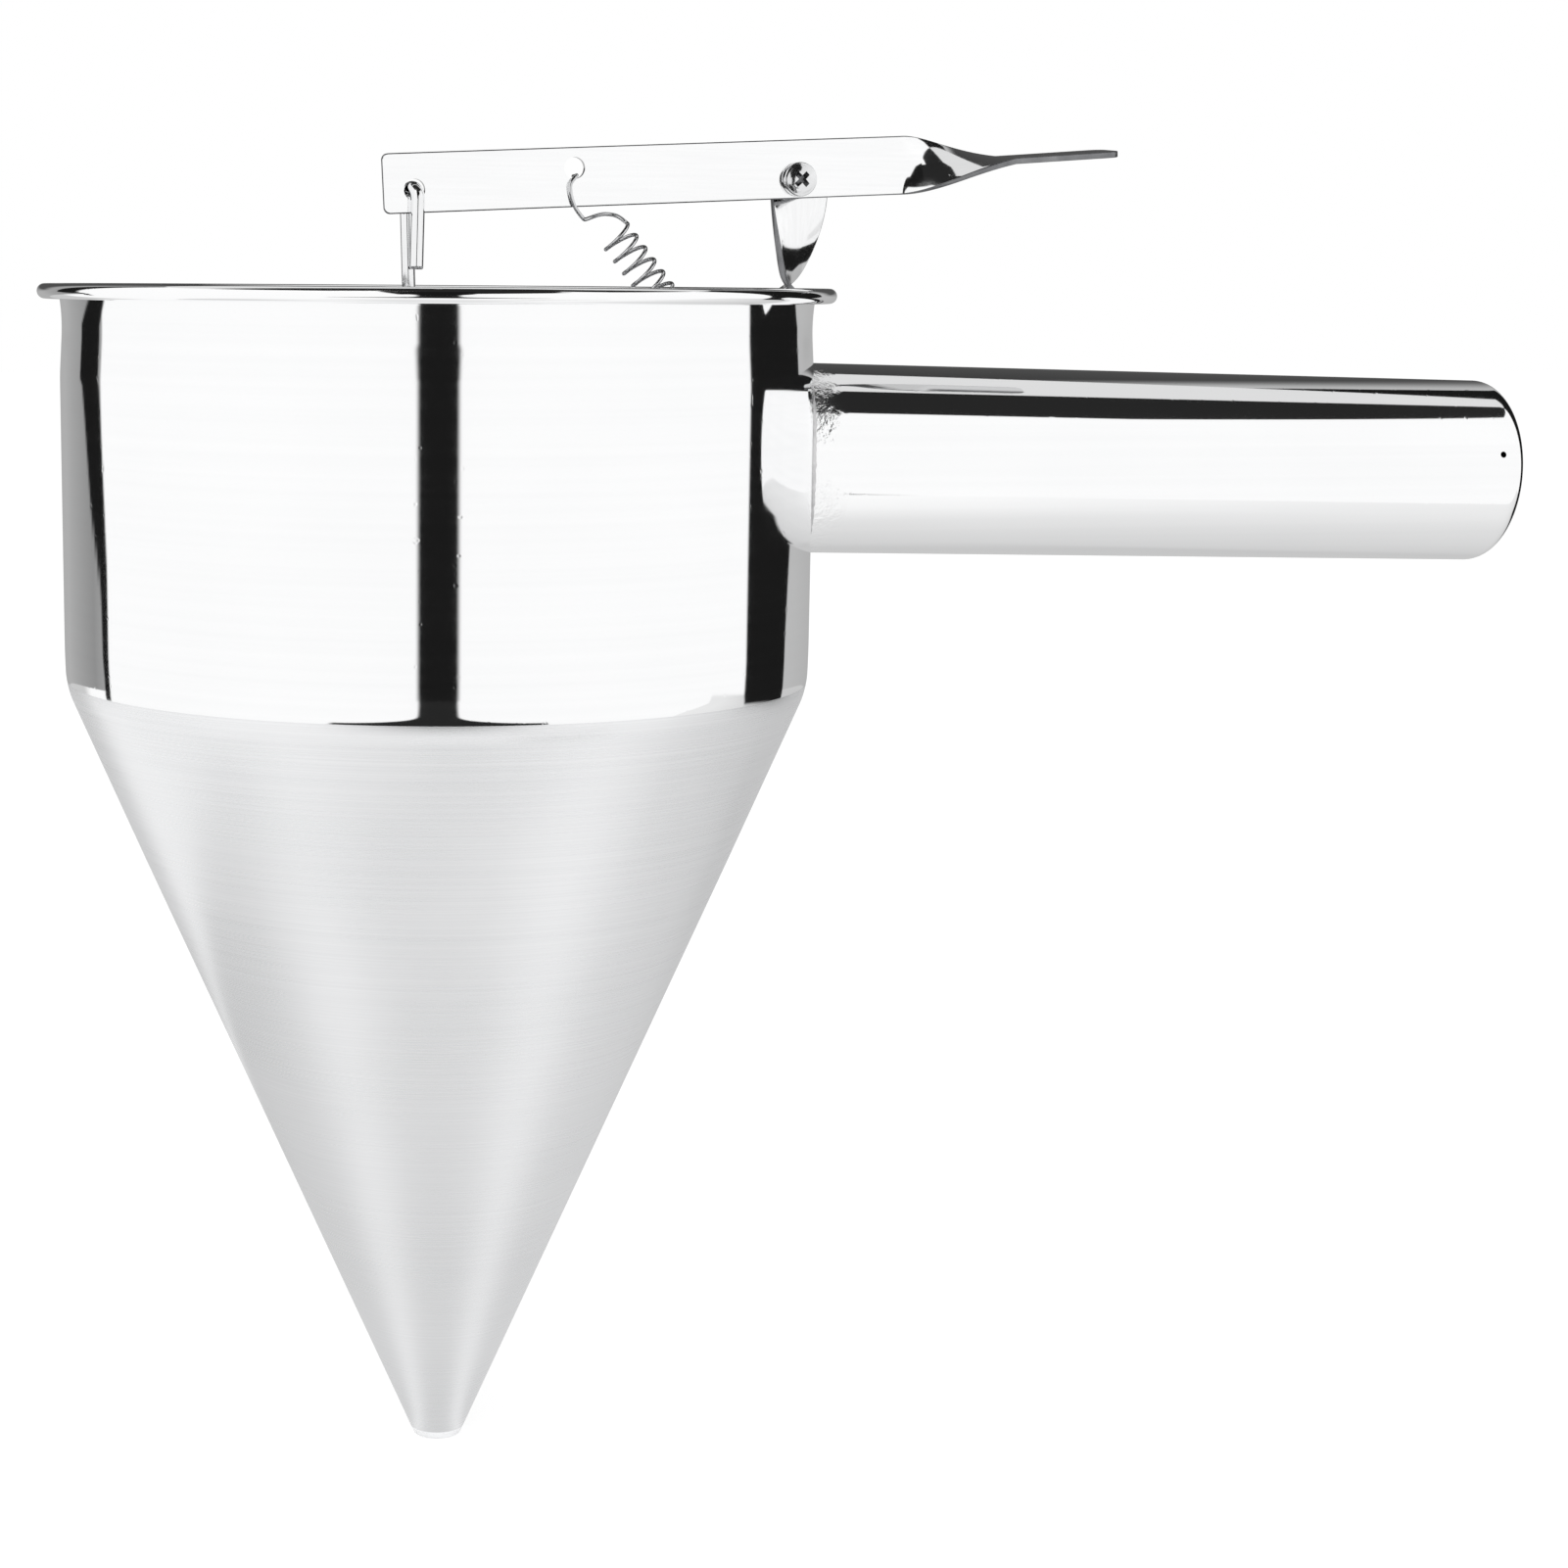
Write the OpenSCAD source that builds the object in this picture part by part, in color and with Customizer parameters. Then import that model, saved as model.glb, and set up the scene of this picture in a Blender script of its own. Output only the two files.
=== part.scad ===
// Batter funnel with a thumb lever: a cup with a rolled rim, a long cone with a nozzle at its
// end, and a plug on a rod that closes the nozzle from inside. Pressing the tab above the handle
// turns the lever on its screw and lifts the rod; a coil spring pulls it shut again.
// The origin is on the cup's axis, on the plain wall under the handle. The handle points to +X.

/* [Cup] */
// Outside diameter of the cup's wall
cup_d = 122; // [110:1:140]
// Depth from the rim's top to the corner that the wall and the cone would meet at
cup_depth = 64.6; // [58:0.2:90]
// Thickness of the sheet that the cup and the cone are spun from
sheet_t = 0.8; // [0.6:0.1:1]
// Height of the rolled rim
hem_h = 2.4; // [2.2:0.1:4]
// How far the rolled rim stands out of the wall
hem_out = 3.4; // [2.6:0.1:6]
// Gap between the rolled rim's edge and the wall
hem_gap = 0.2; // [0.1:0.05:0.4]
// Radius of the rounded shoulder between wall and cone
shoulder_r = 12; // [8:1:20]
// Height of the welded seam above the corner of wall and cone
seam_up = 1.1; // [0:0.1:1.2]
// Depth of the origin below the rim's top
origin_drop = 53.5; // [48:0.5:58]

/* [Cone] */
// Height of the cone, from the corner to the nozzle's end
cone_h = 130; // [100:1:160]
// Outside diameter of the nozzle's end
nozzle_d = 8; // [6:0.2:14]

/* [Handle] */
// Diameter of the handle's tube
handle_d = 31.8; // [26:0.2:36]
// Length of the handle, from the cup to the end of its cap
handle_len = 130.8; // [100:0.2:160]
// Wall of the handle's tube
handle_wall = 1.2; // [0.8:0.1:2]
// Depth of the handle's axis at the cup, below the rim's top
handle_drop = 28.2; // [24:0.2:34]
// How far the handle leans down, in degrees
handle_droop = 1.4; // [0:0.1:4]
// Length of the end cap
cap_len = 5; // [4.6:0.1:9]
// Corner radius of the end cap
cap_corner_r = 3; // [2:0.1:3.4]
// Rise of the end cap's domed face
cap_crown = 1.2; // [0.4:0.1:1.5]
// Diameter of the vent hole
vent_d = 1.1; // [0.8:0.1:2]
// Distance of the vent hole from the handle's end
vent_inset = 6.3; // [6.2:0.1:12]
// How far above level the vent hole sits, in degrees round the tube
vent_up = 13; // [0:1:20]
// Leg of the weld round the handle's root
weld_leg = 0.9; // [0.5:0.1:2]

/* [Lever] */
// Width of the strip that the lever and the bracket are cut from
strip_w = 9.6; // [8:0.2:12]
// Thickness of the lever
lever_t = 1; // [0.8:0.1:1.4]
// Lean of the lever at rest, in degrees, tab up
lever_tilt = 2.8; // [1:0.1:4]
// Distance of the pivot from the cup's axis
pivot_x = 60.2; // [58:0.1:62]
// Height of the pivot above the rim's top
pivot_rise = 17.75; // [17:0.25:24]
// Distance of the pivot below the middle of the lever
pivot_low = 1.7; // [0:0.1:2]
// Corner radius of the hooked end
arm_corner_r = 1; // [0.5:0.1:3]
// Distance of the rod's hole from the pivot
rod_hole_x = 64.75; // [63:0.25:66]
// Length of the lever past the middle of the rod's hole
arm_past_rod = 5.05; // [4:0.05:8]
// Distance of the rod's hole below the middle of the lever
rod_hole_low = 1.1; // [0:0.1:1.5]
// Distance of the spring's hole from the pivot
spring_hole_x = 38.1; // [34:0.1:42]
// Distance of the spring's hole above the middle of the lever
spring_hole_up = 1.45; // [0:0.05:2]
// Diameter of the two hook holes
hook_hole_d = 3.5; // [3.4:0.1:4.4]
// Distance of the start of the twist from the pivot
twist_x = 15.9; // [14:0.1:22]
// Length of the twist
twist_len = 21.1; // [14:0.1:24]
// Turn of the thumb tab, in degrees
tab_turn = 86; // [70:1:90]
// Length of the thumb tab
tab_len = 19; // [14:0.5:26]
// Lift of the thumb tab, in degrees
tab_lift = 1.5; // [0:0.5:4]

/* [Bracket] */
// Thickness of the bracket
bracket_t = 1.2; // [1:0.1:1.5]
// Gap between the bracket's foot and the wall, in the middle of the foot
foot_gap = 0.3; // [0.3:0.05:1]
// Distance of the bracket's middle from the pivot at its top, outwards
plate_shift = 1; // [0:0.1:1.5]
// Height of the top of the bracket's twist above the rim's top
bracket_twist_up = 14.7; // [12:0.1:14.7]
// Depth of the end of the bracket's twist below the rim's top
bracket_twist_down = 0.5; // [0.5:0.1:1.5]
// Share of the twist that is spread evenly; the rest comes at the foot
twist_even_share = 0.75; // [0.7:0.05:1]
// Depth of the lug below the rim's top
lug_drop = 21.8; // [16:0.2:26]
// Distance of the spring's hole in the lug from the foot
lug_reach = 4.1; // [3.6:0.1:5]
// Lug beyond its hole
lug_nose = 2.7; // [2:0.1:3]
// Diameter of the hole in the lug
lug_hole_d = 2.4; // [2:0.1:2.8]
// Inside radius of the lug's bend
lug_bend_r = 0.6; // [0.3:0.1:1]
// Radius of a spot weld behind the foot
spot_r = 2; // [1:0.1:3]

/* [Pivot] */
// Diameter of the screw
screw_d = 3; // [2.5:0.1:4]
// Diameter of the screw's head
head_d = 5.6; // [5:0.1:6.4]
// Height of the screw's head
head_h = 2.2; // [1.8:0.1:2.6]
// Radius of the head's domed top
head_dome_r = 5; // [4.5:0.1:8]
// Length of the cross slots in the head
cross_len = 3.2; // [2.4:0.1:3.8]
// Width of the cross slots in the head
cross_w = 0.85; // [0.5:0.05:1]
// Depth of the cross slots in the head
cross_depth = 1.2; // [0.6:0.1:1.4]
// Thickness of the spacer between bracket and lever
spacer_t = 0.7; // [0.6:0.05:1.2]
// Outside diameter of the spacer
spacer_d = 6; // [5:0.1:6]
// Width of the nut across its flats
nut_flats = 5.5; // [5:0.1:7]
// Height of the nut
nut_h = 2.4; // [1.8:0.1:3]
// Screw beyond the nut
screw_tail = 1; // [0.5:0.1:2]
// Play of the lever between the spacer and the head, on each side
side_play = 0.1; // [0.05:0.01:0.15]
// Clearance of the lever's bore round the screw, in the radius
bore_play = 0.05; // [0.02:0.01:0.09]

/* [Plunger] */
// Diameter of the rod
rod_d = 2.2; // [1.8:0.1:2.4]
// How far the hook lies above the middle of its hole
hook_up = 0.3; // [0:0.05:0.3]
// How far the hook lies from the middle of its hole towards the lever's end
hook_out = 0.25; // [0:0.05:0.25]
// Turn of the hook about the rod, in degrees
hook_turn = 18; // [0:1:20]
// Length of the hook's free leg
hook_leg = 11; // [6:0.2:14]
// Lean of the hook's free leg away from the rod, in degrees
hook_splay = 3.4; // [0:0.2:4]
// Diameter of the plug
plug_d = 10; // [9:0.2:14]
// Height of the plug's straight part
plug_band = 3; // [2:0.2:6]
// Height of the plug's sloped top
plug_top = 2; // [1:0.2:4]
// Diameter of the plug's upper end
plug_neck_d = 4.6; // [3.6:0.2:6]
// Gap between the plug and its seat in the cone
seat_gap = 0.1; // [0.05:0.01:0.15]
// Height of the plug's lower end above the nozzle's end
plug_up = 0.3; // [0:0.1:1]
// Length of the rod inside the plug
rod_grip = 6; // [4:0.2:7]

/* [Spring] */
// Diameter of the spring's wire
spring_wire_d = 0.65; // [0.5:0.05:0.7]
// Outside diameter of the spring's coil
spring_od = 6; // [5:0.1:6.4]
// Turns of the spring
spring_turns = 13; // [8:1:14]
// Length of the spring's cut ends beyond lever and lug
spring_tail = 1; // [0.8:0.1:1.4]
// Gap between the spring's hooks and the faces that they pass
spring_gap = 0.25; // [0.2:0.05:0.4]

/* [Hidden] */
$fn = 96;

// Depth by which a cut runs past the face that it opens
overrun = 2;
// Clearance between fixed pieces that are welded or screwed together
joint_gap = 0.02;
// How much thinner a twisted stretch is than the flat strip that it runs into
twist_skin = 0.01;

// Heights of the rim's top, the corner, the seam and the nozzle's end
rim_z = origin_drop;
corner_z = rim_z - cup_depth;
seam_z = corner_z + seam_up;
tip_z = corner_z - cone_h;

cup_r = cup_d / 2;
cup_in_r = cup_r - sheet_t;
nozzle_r = nozzle_d / 2;
hem_r = hem_h / 2;
// Slope of the cone's wall from the vertical, in degrees
cone_a = atan((cup_r - nozzle_r) / cone_h);
// Middle of the shoulder's round, as radius and height
shoulder_x = cup_r - shoulder_r;
shoulder_z = corner_z + shoulder_r * tan(cone_a / 2);
// Radius of the nozzle's opening
mouth_r = nozzle_r - sheet_t / cos(cone_a);

handle_r = handle_d / 2;
handle_z = rim_z - handle_drop;

pivot_z = rim_z + pivot_rise;
plate_x = pivot_x + plate_shift;
foot_x = cup_in_r - foot_gap - bracket_t / 2;
foot_top_z = rim_z - bracket_twist_down;
lug_z = rim_z - lug_drop;
lug_hole_x = foot_x - bracket_t / 2 - lug_reach;
lug_tip_x = lug_hole_x - lug_nose;

// Distances in front of the bracket's middle plane, towards the screw's head
spacer_y = bracket_t / 2;
lever_y = spacer_y + spacer_t + side_play;
lever_mid_y = lever_y + lever_t / 2;
lever_front_y = lever_y + lever_t;
head_y = lever_front_y + side_play;

rod_r = rod_d / 2;
hook_hole_r = hook_hole_d / 2;
arm_len = rod_hole_x + arm_past_rod;

// A point of the lever, given along it from the pivot and across it from its middle line
function lever_point(along, across) =
    let (up = pivot_low + across)
    [pivot_x + along * cos(lever_tilt) - up * sin(lever_tilt), 0,
     pivot_z + along * sin(lever_tilt) + up * cos(lever_tilt)];

// Radius of the hook's round bend, and the bend's top, in the middle of the lever's thickness
bend_r = lever_mid_y;
hook = lever_point(-rod_hole_x - hook_out, hook_up - rod_hole_low) - [0, lever_mid_y, 0];
plug_seat_h = (plug_d / 2 - mouth_r + seat_gap / cos(cone_a)) / tan(cone_a) - plug_up;
plug_h = plug_seat_h + plug_band + plug_top;
plug_z = tip_z + plug_up;
rod_foot_z = plug_z + plug_h - rod_grip;
// The rod runs from the plug's middle to the end of the bend that lies behind the lever
rod_top = hook + bend_r * [-sin(hook_turn), cos(hook_turn), -1];
rod_way = rod_top - [0, 0, rod_foot_z];
rod_len = norm(rod_way);
rod_lean = acos(rod_way[2] / rod_len);
rod_aim = atan2(rod_way[1], rod_way[0]);

// Area inside one face of the cup's sheet: the wall's, and the round of the shoulder below it
module cup_area(wall_r, round_r) {
    translate([shoulder_x, shoulder_z])
        square([wall_r - shoulder_x, rim_z - hem_r - shoulder_z]);
    translate([shoulder_x, shoulder_z])
        circle(round_r);
}

// The rolled rim and the wall down to the seam, as radius and height
module cup_profile() {
    hem_z = rim_z - hem_r;
    hem_in_x = cup_in_r + hem_r;
    hem_out_x = cup_r + hem_out - hem_r;
    difference() {
        rounded_bar(hem_in_x, hem_out_x, hem_z, hem_r);
        rounded_bar(hem_in_x, hem_out_x, hem_z, hem_r - sheet_t);
        translate([cup_r, hem_z - hem_r - overrun])
            square([hem_gap, hem_r + overrun]);
    }
    intersection() {
        difference() {
            cup_area(cup_r, shoulder_r);
            cup_area(cup_in_r, shoulder_r - sheet_t);
        }
        translate([shoulder_x, seam_z])
            square([shoulder_r + overrun, rim_z - seam_z]);
    }
}

// Points round the shoulder from the seam to where the cone's straight side starts
function shoulder_points(round_r) =
    let (steps = 12, from = asin((shoulder_z - seam_z) / round_r))
    [for (i = [0:steps])
        let (a = from + (cone_a - from) * i / steps)
        [shoulder_x + round_r * cos(a), shoulder_z - round_r * sin(a)]];

// The lower shoulder and the cone down to the nozzle, as radius and height
module cone_profile() {
    inside = shoulder_points(shoulder_r - sheet_t);
    polygon(concat(shoulder_points(shoulder_r), [[nozzle_r, tip_z], [mouth_r, tip_z]],
                   [for (i = [len(inside) - 1:-1:0]) inside[i]]));
}

// A bar with round ends that lies level, between two centres
module rounded_bar(from_x, to_x, mid_z, radius) {
    for (x = [from_x, to_x])
        translate([x, mid_z])
            circle(radius);
    translate([from_x, mid_z - radius])
        square([to_x - from_x, 2 * radius]);
}

module cup_shell() {
    color("silver")
        rotate_extrude($fn = 180)
            cup_profile();
}

module cone_shell() {
    color("gainsboro")
        rotate_extrude($fn = 180)
            cone_profile();
}

// Places children on the handle's axis: their Z runs out along the handle from the cup's wall
module on_handle(along = 0) {
    translate([cup_r, 0, handle_z])
        rotate([0, 90 + handle_droop, 0])
            translate([0, 0, along])
                children();
}

module handle_tube() {
    tube_len = handle_len - cap_len;
    cope = handle_r / 2;
    color("silver")
        difference() {
            on_handle(-cope)
                difference() {
                    cylinder(r = handle_r, h = tube_len + cope);
                    translate([0, 0, -overrun])
                        cylinder(r = handle_r - handle_wall, h = tube_len + cope + 2 * overrun);
                }
            translate([0, 0, handle_z - handle_d])
                cylinder(r = cup_r + joint_gap, h = 2 * handle_d, $fn = 180);
            on_handle(handle_len - vent_inset)
                rotate([0, 0, -vent_up])
                    rotate([90, 0, 0])
                        cylinder(d = vent_d, h = handle_r + overrun);
        }
}

// Half outline of a domed cap: its rim, a corner arc and the crown's parabola
function cap_outline(radius, length, corner, crown) =
    let (steps = 8, flat = radius - corner)
    concat([[0, 0], [radius, 0]],
           [for (i = [0:steps])
               let (a = 90 * i / steps)
               [flat + corner * cos(a), length - crown - corner + corner * sin(a)]],
           [for (i = [1:steps])
               let (share = 1 - i / steps)
               [flat * share, length - crown * share * share]]);

module handle_end_cap() {
    color("silver")
        on_handle(handle_len - cap_len)
            difference() {
                rotate_extrude()
                    polygon(cap_outline(handle_r, cap_len, cap_corner_r, cap_crown));
                rotate_extrude()
                    polygon(cap_outline(handle_r - handle_wall, cap_len - handle_wall,
                                        cap_corner_r - handle_wall, cap_crown));
            }
}

// A point of the handle's root: round the handle at a radius, where its ray meets the cup
function root_point(turn, radius, off, run) =
    let (y = radius * sin(turn),
         lift = radius * cos(turn),
         reach = sqrt(pow(cup_r + off, 2) - y * y),
         s = (reach - cup_r - lift * sin(handle_droop)) / cos(handle_droop) + run)
    [cup_r + s * cos(handle_droop) + lift * sin(handle_droop), y,
     handle_z - s * sin(handle_droop) + lift * cos(handle_droop)];

// Closed tube through rings of points; the last ring joins the first where it is a loop
module ring_skin(rings, loop) {
    count = len(rings);
    sides = len(rings[0]);
    spans = loop ? count : count - 1;
    walls = [for (i = [0:spans - 1], j = [0:sides - 1])
                let (a = i * sides + j,
                     b = i * sides + (j + 1) % sides,
                     c = (i + 1) % count * sides + (j + 1) % sides,
                     d = (i + 1) % count * sides + j)
                each [[a, b, c], [a, c, d]]];
    last = (count - 1) * sides;
    ends = loop ? [] : [for (j = [1:sides - 2])
                           each [[0, j + 1, j], [last, last + j, last + j + 1]]];
    polyhedron(points = [for (ring = rings) each ring], faces = concat(walls, ends), convexity = 6);
}

// Fillet weld between the handle and the cup
module handle_weld() {
    steps = 60;
    tube_r = handle_r + joint_gap;
    color("darkgray")
        ring_skin([for (i = [0:steps - 1])
                      let (turn = 360 * i / steps)
                      [root_point(turn, tube_r, 2 * joint_gap, 0),
                       root_point(turn, tube_r + weld_leg, 2 * joint_gap, 0),
                       root_point(turn, tube_r, 2 * joint_gap, weld_leg)]], true);
}

// Places children at the pivot: their Z runs to the front, along the screw, from the bracket
module on_pivot(front = 0) {
    translate([pivot_x, 0, pivot_z])
        rotate([90, 0, 0])
            translate([0, 0, front])
                children();
}

// The bracket's twisted stretch, from the foot up to the flat pivot plate
module bracket_twist() {
    steps = 24;
    late = 12;
    top_z = rim_z + bracket_twist_up;
    half_w = strip_w / 2 - twist_skin;
    half_t = bracket_t / 2 - twist_skin;
    ring_skin([for (i = [0:steps])
                  let (share = 1 - i / steps,
                       turn = 90 * (twist_even_share * share
                                    + (1 - twist_even_share) * pow(share, late)),
                       x = plate_x + (foot_x - plate_x) * share * share,
                       z = top_z + (foot_top_z - top_z) * share)
                  [for (corner = [[-1, -1], [-1, 1], [1, 1], [1, -1]])
                      let (w = corner[0] * half_w, t = corner[1] * half_t)
                      [x + w * cos(turn) - t * sin(turn), w * sin(turn) + t * cos(turn), z]]],
              false);
}

module bracket() {
    foot_end_z = lug_z + bracket_t / 2 + lug_bend_r;
    lug_end_x = foot_x - bracket_t / 2 - lug_bend_r;
    color("gainsboro") {
        // Flat plate with a round top, for the screw
        on_pivot(-bracket_t / 2)
            difference() {
                translate([plate_shift, 0, 0]) {
                    cylinder(d = strip_w, h = bracket_t);
                    translate([-strip_w / 2, bracket_twist_up - pivot_rise, 0])
                        cube([strip_w, pivot_rise - bracket_twist_up, bracket_t]);
                }
                translate([0, 0, -overrun])
                    cylinder(r = screw_d / 2 + bore_play, h = bracket_t + 2 * overrun);
            }
        bracket_twist();
        // Foot along the wall
        translate([foot_x - bracket_t / 2, -strip_w / 2, foot_end_z])
            cube([bracket_t, strip_w, foot_top_z - foot_end_z]);
        // Bend from the foot to the lug
        translate([lug_end_x, strip_w / 2, foot_end_z])
            rotate([90, 0, 0])
                linear_extrude(strip_w)
                    intersection() {
                        difference() {
                            circle(lug_bend_r + bracket_t);
                            circle(lug_bend_r);
                        }
                        translate([0, -lug_bend_r - bracket_t])
                            square(lug_bend_r + bracket_t);
                    }
        // Lug with the spring's hole
        translate([0, 0, lug_z - bracket_t / 2])
            linear_extrude(bracket_t)
                difference() {
                    translate([lug_tip_x, -strip_w / 2])
                        square([lug_end_x - lug_tip_x, strip_w]);
                    translate([lug_hole_x, -lever_mid_y])
                        circle(d = lug_hole_d);
                }
    }
}

// Two spot welds between the foot and the wall
module bracket_welds() {
    foot_back_x = foot_x + bracket_t / 2;
    foot_end_z = lug_z + bracket_t / 2 + lug_bend_r;
    wall_x = sqrt(cup_in_r * cup_in_r - spot_r * spot_r) - joint_gap;
    color("darkgray")
        for (share = [1 / 4, 3 / 4])
            translate([foot_back_x, 0, foot_end_z + (foot_top_z - foot_end_z) * share])
                rotate([0, 90, 0])
                    cylinder(r = spot_r, h = wall_x - foot_back_x);
}

// Pan head with a cross recess, and the shank through to the nut
module pivot_screw() {
    shank = head_y + bracket_t / 2 + nut_h + screw_tail;
    color("lightgray")
        on_pivot(head_y) {
            difference() {
                rotate_extrude()
                    intersection() {
                        square([head_d / 2, head_h]);
                        translate([0, head_h - head_dome_r])
                            circle(head_dome_r);
                    }
                for (turn = [45, 135])
                    rotate([0, 0, turn])
                        translate([-cross_len / 2, -cross_w / 2, head_h - cross_depth])
                            cube([cross_len, cross_w, cross_depth + overrun]);
            }
            translate([0, 0, -shank])
                cylinder(d = screw_d, h = shank);
        }
}

module pivot_spacer() {
    color("gainsboro")
        on_pivot(spacer_y)
            difference() {
                cylinder(d = spacer_d, h = spacer_t);
                translate([0, 0, -overrun])
                    cylinder(r = screw_d / 2 + bore_play, h = spacer_t + 2 * overrun);
            }
}

module pivot_nut() {
    color("lightgray")
        on_pivot(-bracket_t / 2 - nut_h)
            difference() {
                cylinder(d = nut_flats / cos(30), h = nut_h, $fn = 6);
                translate([0, 0, -overrun])
                    cylinder(r = screw_d / 2 + joint_gap, h = nut_h + 2 * overrun);
            }
}

// Places children in the lever: X along it from the pivot, Y across it, Z to the front
module on_lever() {
    translate([pivot_x, 0, pivot_z])
        rotate([0, -lever_tilt, 0])
            rotate([90, 0, 0])
                translate([0, pivot_low, lever_y])
                    children();
}

// The lever's flat arm: a strip with two round corners and three holes
module lever_arm() {
    half_w = strip_w / 2;
    linear_extrude(lever_t)
        difference() {
            union() {
                translate([-arm_len + arm_corner_r, -half_w])
                    square([arm_len - arm_corner_r + twist_x, strip_w]);
                translate([-arm_len, -half_w + arm_corner_r])
                    square([arm_corner_r, strip_w - 2 * arm_corner_r]);
                for (side = [-1, 1])
                    translate([-arm_len + arm_corner_r, side * (half_w - arm_corner_r)])
                        circle(arm_corner_r);
            }
            translate([-rod_hole_x, -rod_hole_low])
                circle(hook_hole_r);
            translate([-spring_hole_x, spring_hole_up])
                circle(hook_hole_r);
            translate([0, -pivot_low])
                circle(screw_d / 2 + bore_play);
        }
}

// The twist: the lower edge comes forward and the front face turns up, fast at first
module lever_twist() {
    steps = 28;
    half_w = strip_w / 2 - twist_skin;
    half_t = lever_t / 2 - twist_skin;
    ring_skin([for (i = [0:steps])
                  let (share = i / steps,
                       turn = tab_turn * share * (2 - share),
                       rise = twist_len * tan(tab_lift) / 2 * share * share)
                  [for (corner = [[-1, -1], [-1, 1], [1, 1], [1, -1]])
                      let (w = corner[0] * half_w, t = corner[1] * half_t)
                      [twist_x + twist_len * share,
                       rise + w * cos(turn) + t * sin(turn),
                       lever_t / 2 - w * sin(turn) + t * cos(turn)]]],
              false);
}

// The thumb tab, with two round corners at its end
module lever_tab() {
    corner = strip_w / 4;
    translate([twist_x + twist_len, twist_len * tan(tab_lift) / 2, lever_t / 2])
        rotate([-tab_turn, 0, 0])
            rotate([0, -tab_lift, 0])
                translate([0, 0, -lever_t / 2])
                    linear_extrude(lever_t) {
                        translate([0, -strip_w / 2])
                            square([tab_len - corner, strip_w]);
                        translate([0, -strip_w / 2 + corner])
                            square([tab_len, strip_w - 2 * corner]);
                        for (side = [-1, 1])
                            translate([tab_len - corner, side * (strip_w / 2 - corner)])
                                circle(corner);
                    }
}

module lever() {
    color("gainsboro")
        on_lever() {
            lever_arm();
            lever_twist();
            lever_tab();
        }
}

// Places children on the rod's axis: their Z runs up the rod from its foot in the plug
module on_rod(up = 0) {
    translate([0, 0, rod_foot_z])
        rotate([0, rod_lean, rod_aim])
            translate([0, 0, up])
                rotate([0, 0, -rod_aim])
                    children();
}

// Straight rod, a round bend through the lever's hole and a free leg in front of the lever
module plunger_rod() {
    color("silver") {
        on_rod()
            cylinder(r = rod_r, h = rod_len);
        on_rod(rod_len)
            rotate([0, 0, hook_turn])
                translate([0, -bend_r, 0]) {
                    rotate([0, -90, 0])
                        rotate([0, 0, -90])
                            rotate_extrude(angle = 180)
                                translate([bend_r, 0])
                                    circle(rod_r);
                    translate([0, bend_r, 0])
                        sphere(rod_r + joint_gap);
                    translate([0, -bend_r, 0]) {
                        sphere(rod_r + joint_gap);
                        rotate([0, -hook_splay, 0])
                            translate([0, 0, -hook_leg])
                                cylinder(r = rod_r, h = hook_leg);
                    }
                }
    }
}

// Turned plug with the cone's own slope, bored for the rod
module plunger_plug() {
    foot_r = mouth_r + plug_up * tan(cone_a) - seat_gap / cos(cone_a);
    color("silver")
        difference() {
            translate([0, 0, plug_z])
                rotate_extrude()
                    polygon([[0, 0], [foot_r, 0], [plug_d / 2, plug_seat_h],
                             [plug_d / 2, plug_seat_h + plug_band], [plug_neck_d / 2, plug_h],
                             [0, plug_h]]);
            on_rod(-joint_gap)
                cylinder(r = rod_r + joint_gap, h = rod_grip + overrun + joint_gap);
        }
}

// Radius of the coil's wire path, and the wire's own radius
coil_r = (spring_od - spring_wire_d) / 2;
wire_r = spring_wire_d / 2;
// The spring's pull runs from its hole in the lever to its hole in the lug
spring_from = lever_point(-spring_hole_x, spring_hole_up);
spring_to = [lug_hole_x, 0, lug_z];
spring_len = norm(spring_to - spring_from);
spring_dir = (spring_to - spring_from) / spring_len;

// A point by its distance along the spring, aside to its lower left, and in front of the bracket
function spring_point(along, aside, front) =
    spring_from + along * spring_dir + aside * [spring_dir[2], 0, -spring_dir[0]]
    - [0, front, 0];

// The upper hook's leg in front of the lever, along and aside, as shares of the coil's radius
leg_shares = [[0.58, 0.85], [1.16, 1.24], [1.87, 1.48], [2.63, 1.49], [2.82, 1.38]];
// The wire from that leg round to the coil: along, aside, and in front of the lever's middle
lead_shares = [[3.12, 0.64, -0.2], [3.47, 0, -0.6], [4, -0.49, -0.5]];
// Where the coil starts and ends along the spring, in the same shares
coil_start_share = 4.62;
coil_end_share = 3.3;
// How far the coil's middle lies aside of the line between the two holes, in the same shares
coil_aside_share = 0.4;
// Where the wire passes through the lever's hole, along and aside, in the same shares
pass_shares = [0.44, 0.22];

leg_y = lever_front_y + wire_r + spring_gap;

function upper_hook() =
    concat([for (y = [lever_y - spring_tail, lever_y - spring_tail / 3, lever_mid_y,
                      lever_front_y + wire_r / 2])
               spring_point(pass_shares[0] * coil_r, pass_shares[1] * coil_r, y)],
           [for (s = leg_shares) spring_point(s[0] * coil_r, s[1] * coil_r, leg_y)],
           [for (s = lead_shares)
               spring_point(s[0] * coil_r, s[1] * coil_r, lever_mid_y + s[2] * coil_r)]);

// The coil starts at its upper right and goes round by its front to its lower left
function coil() =
    let (from = coil_start_share * coil_r,
         to = spring_len - coil_end_share * coil_r,
         turn_start = 180,
         turn_end = 360 * spring_turns,
         steps = round((turn_end - turn_start) / 45))
    [for (i = [0:steps])
        let (share = i / steps,
             turn = turn_start + (turn_end - turn_start) * share)
        spring_point(from + (to - from) * share, coil_r * (cos(turn) + coil_aside_share),
                     lever_mid_y - coil_r * sin(turn))];

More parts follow.
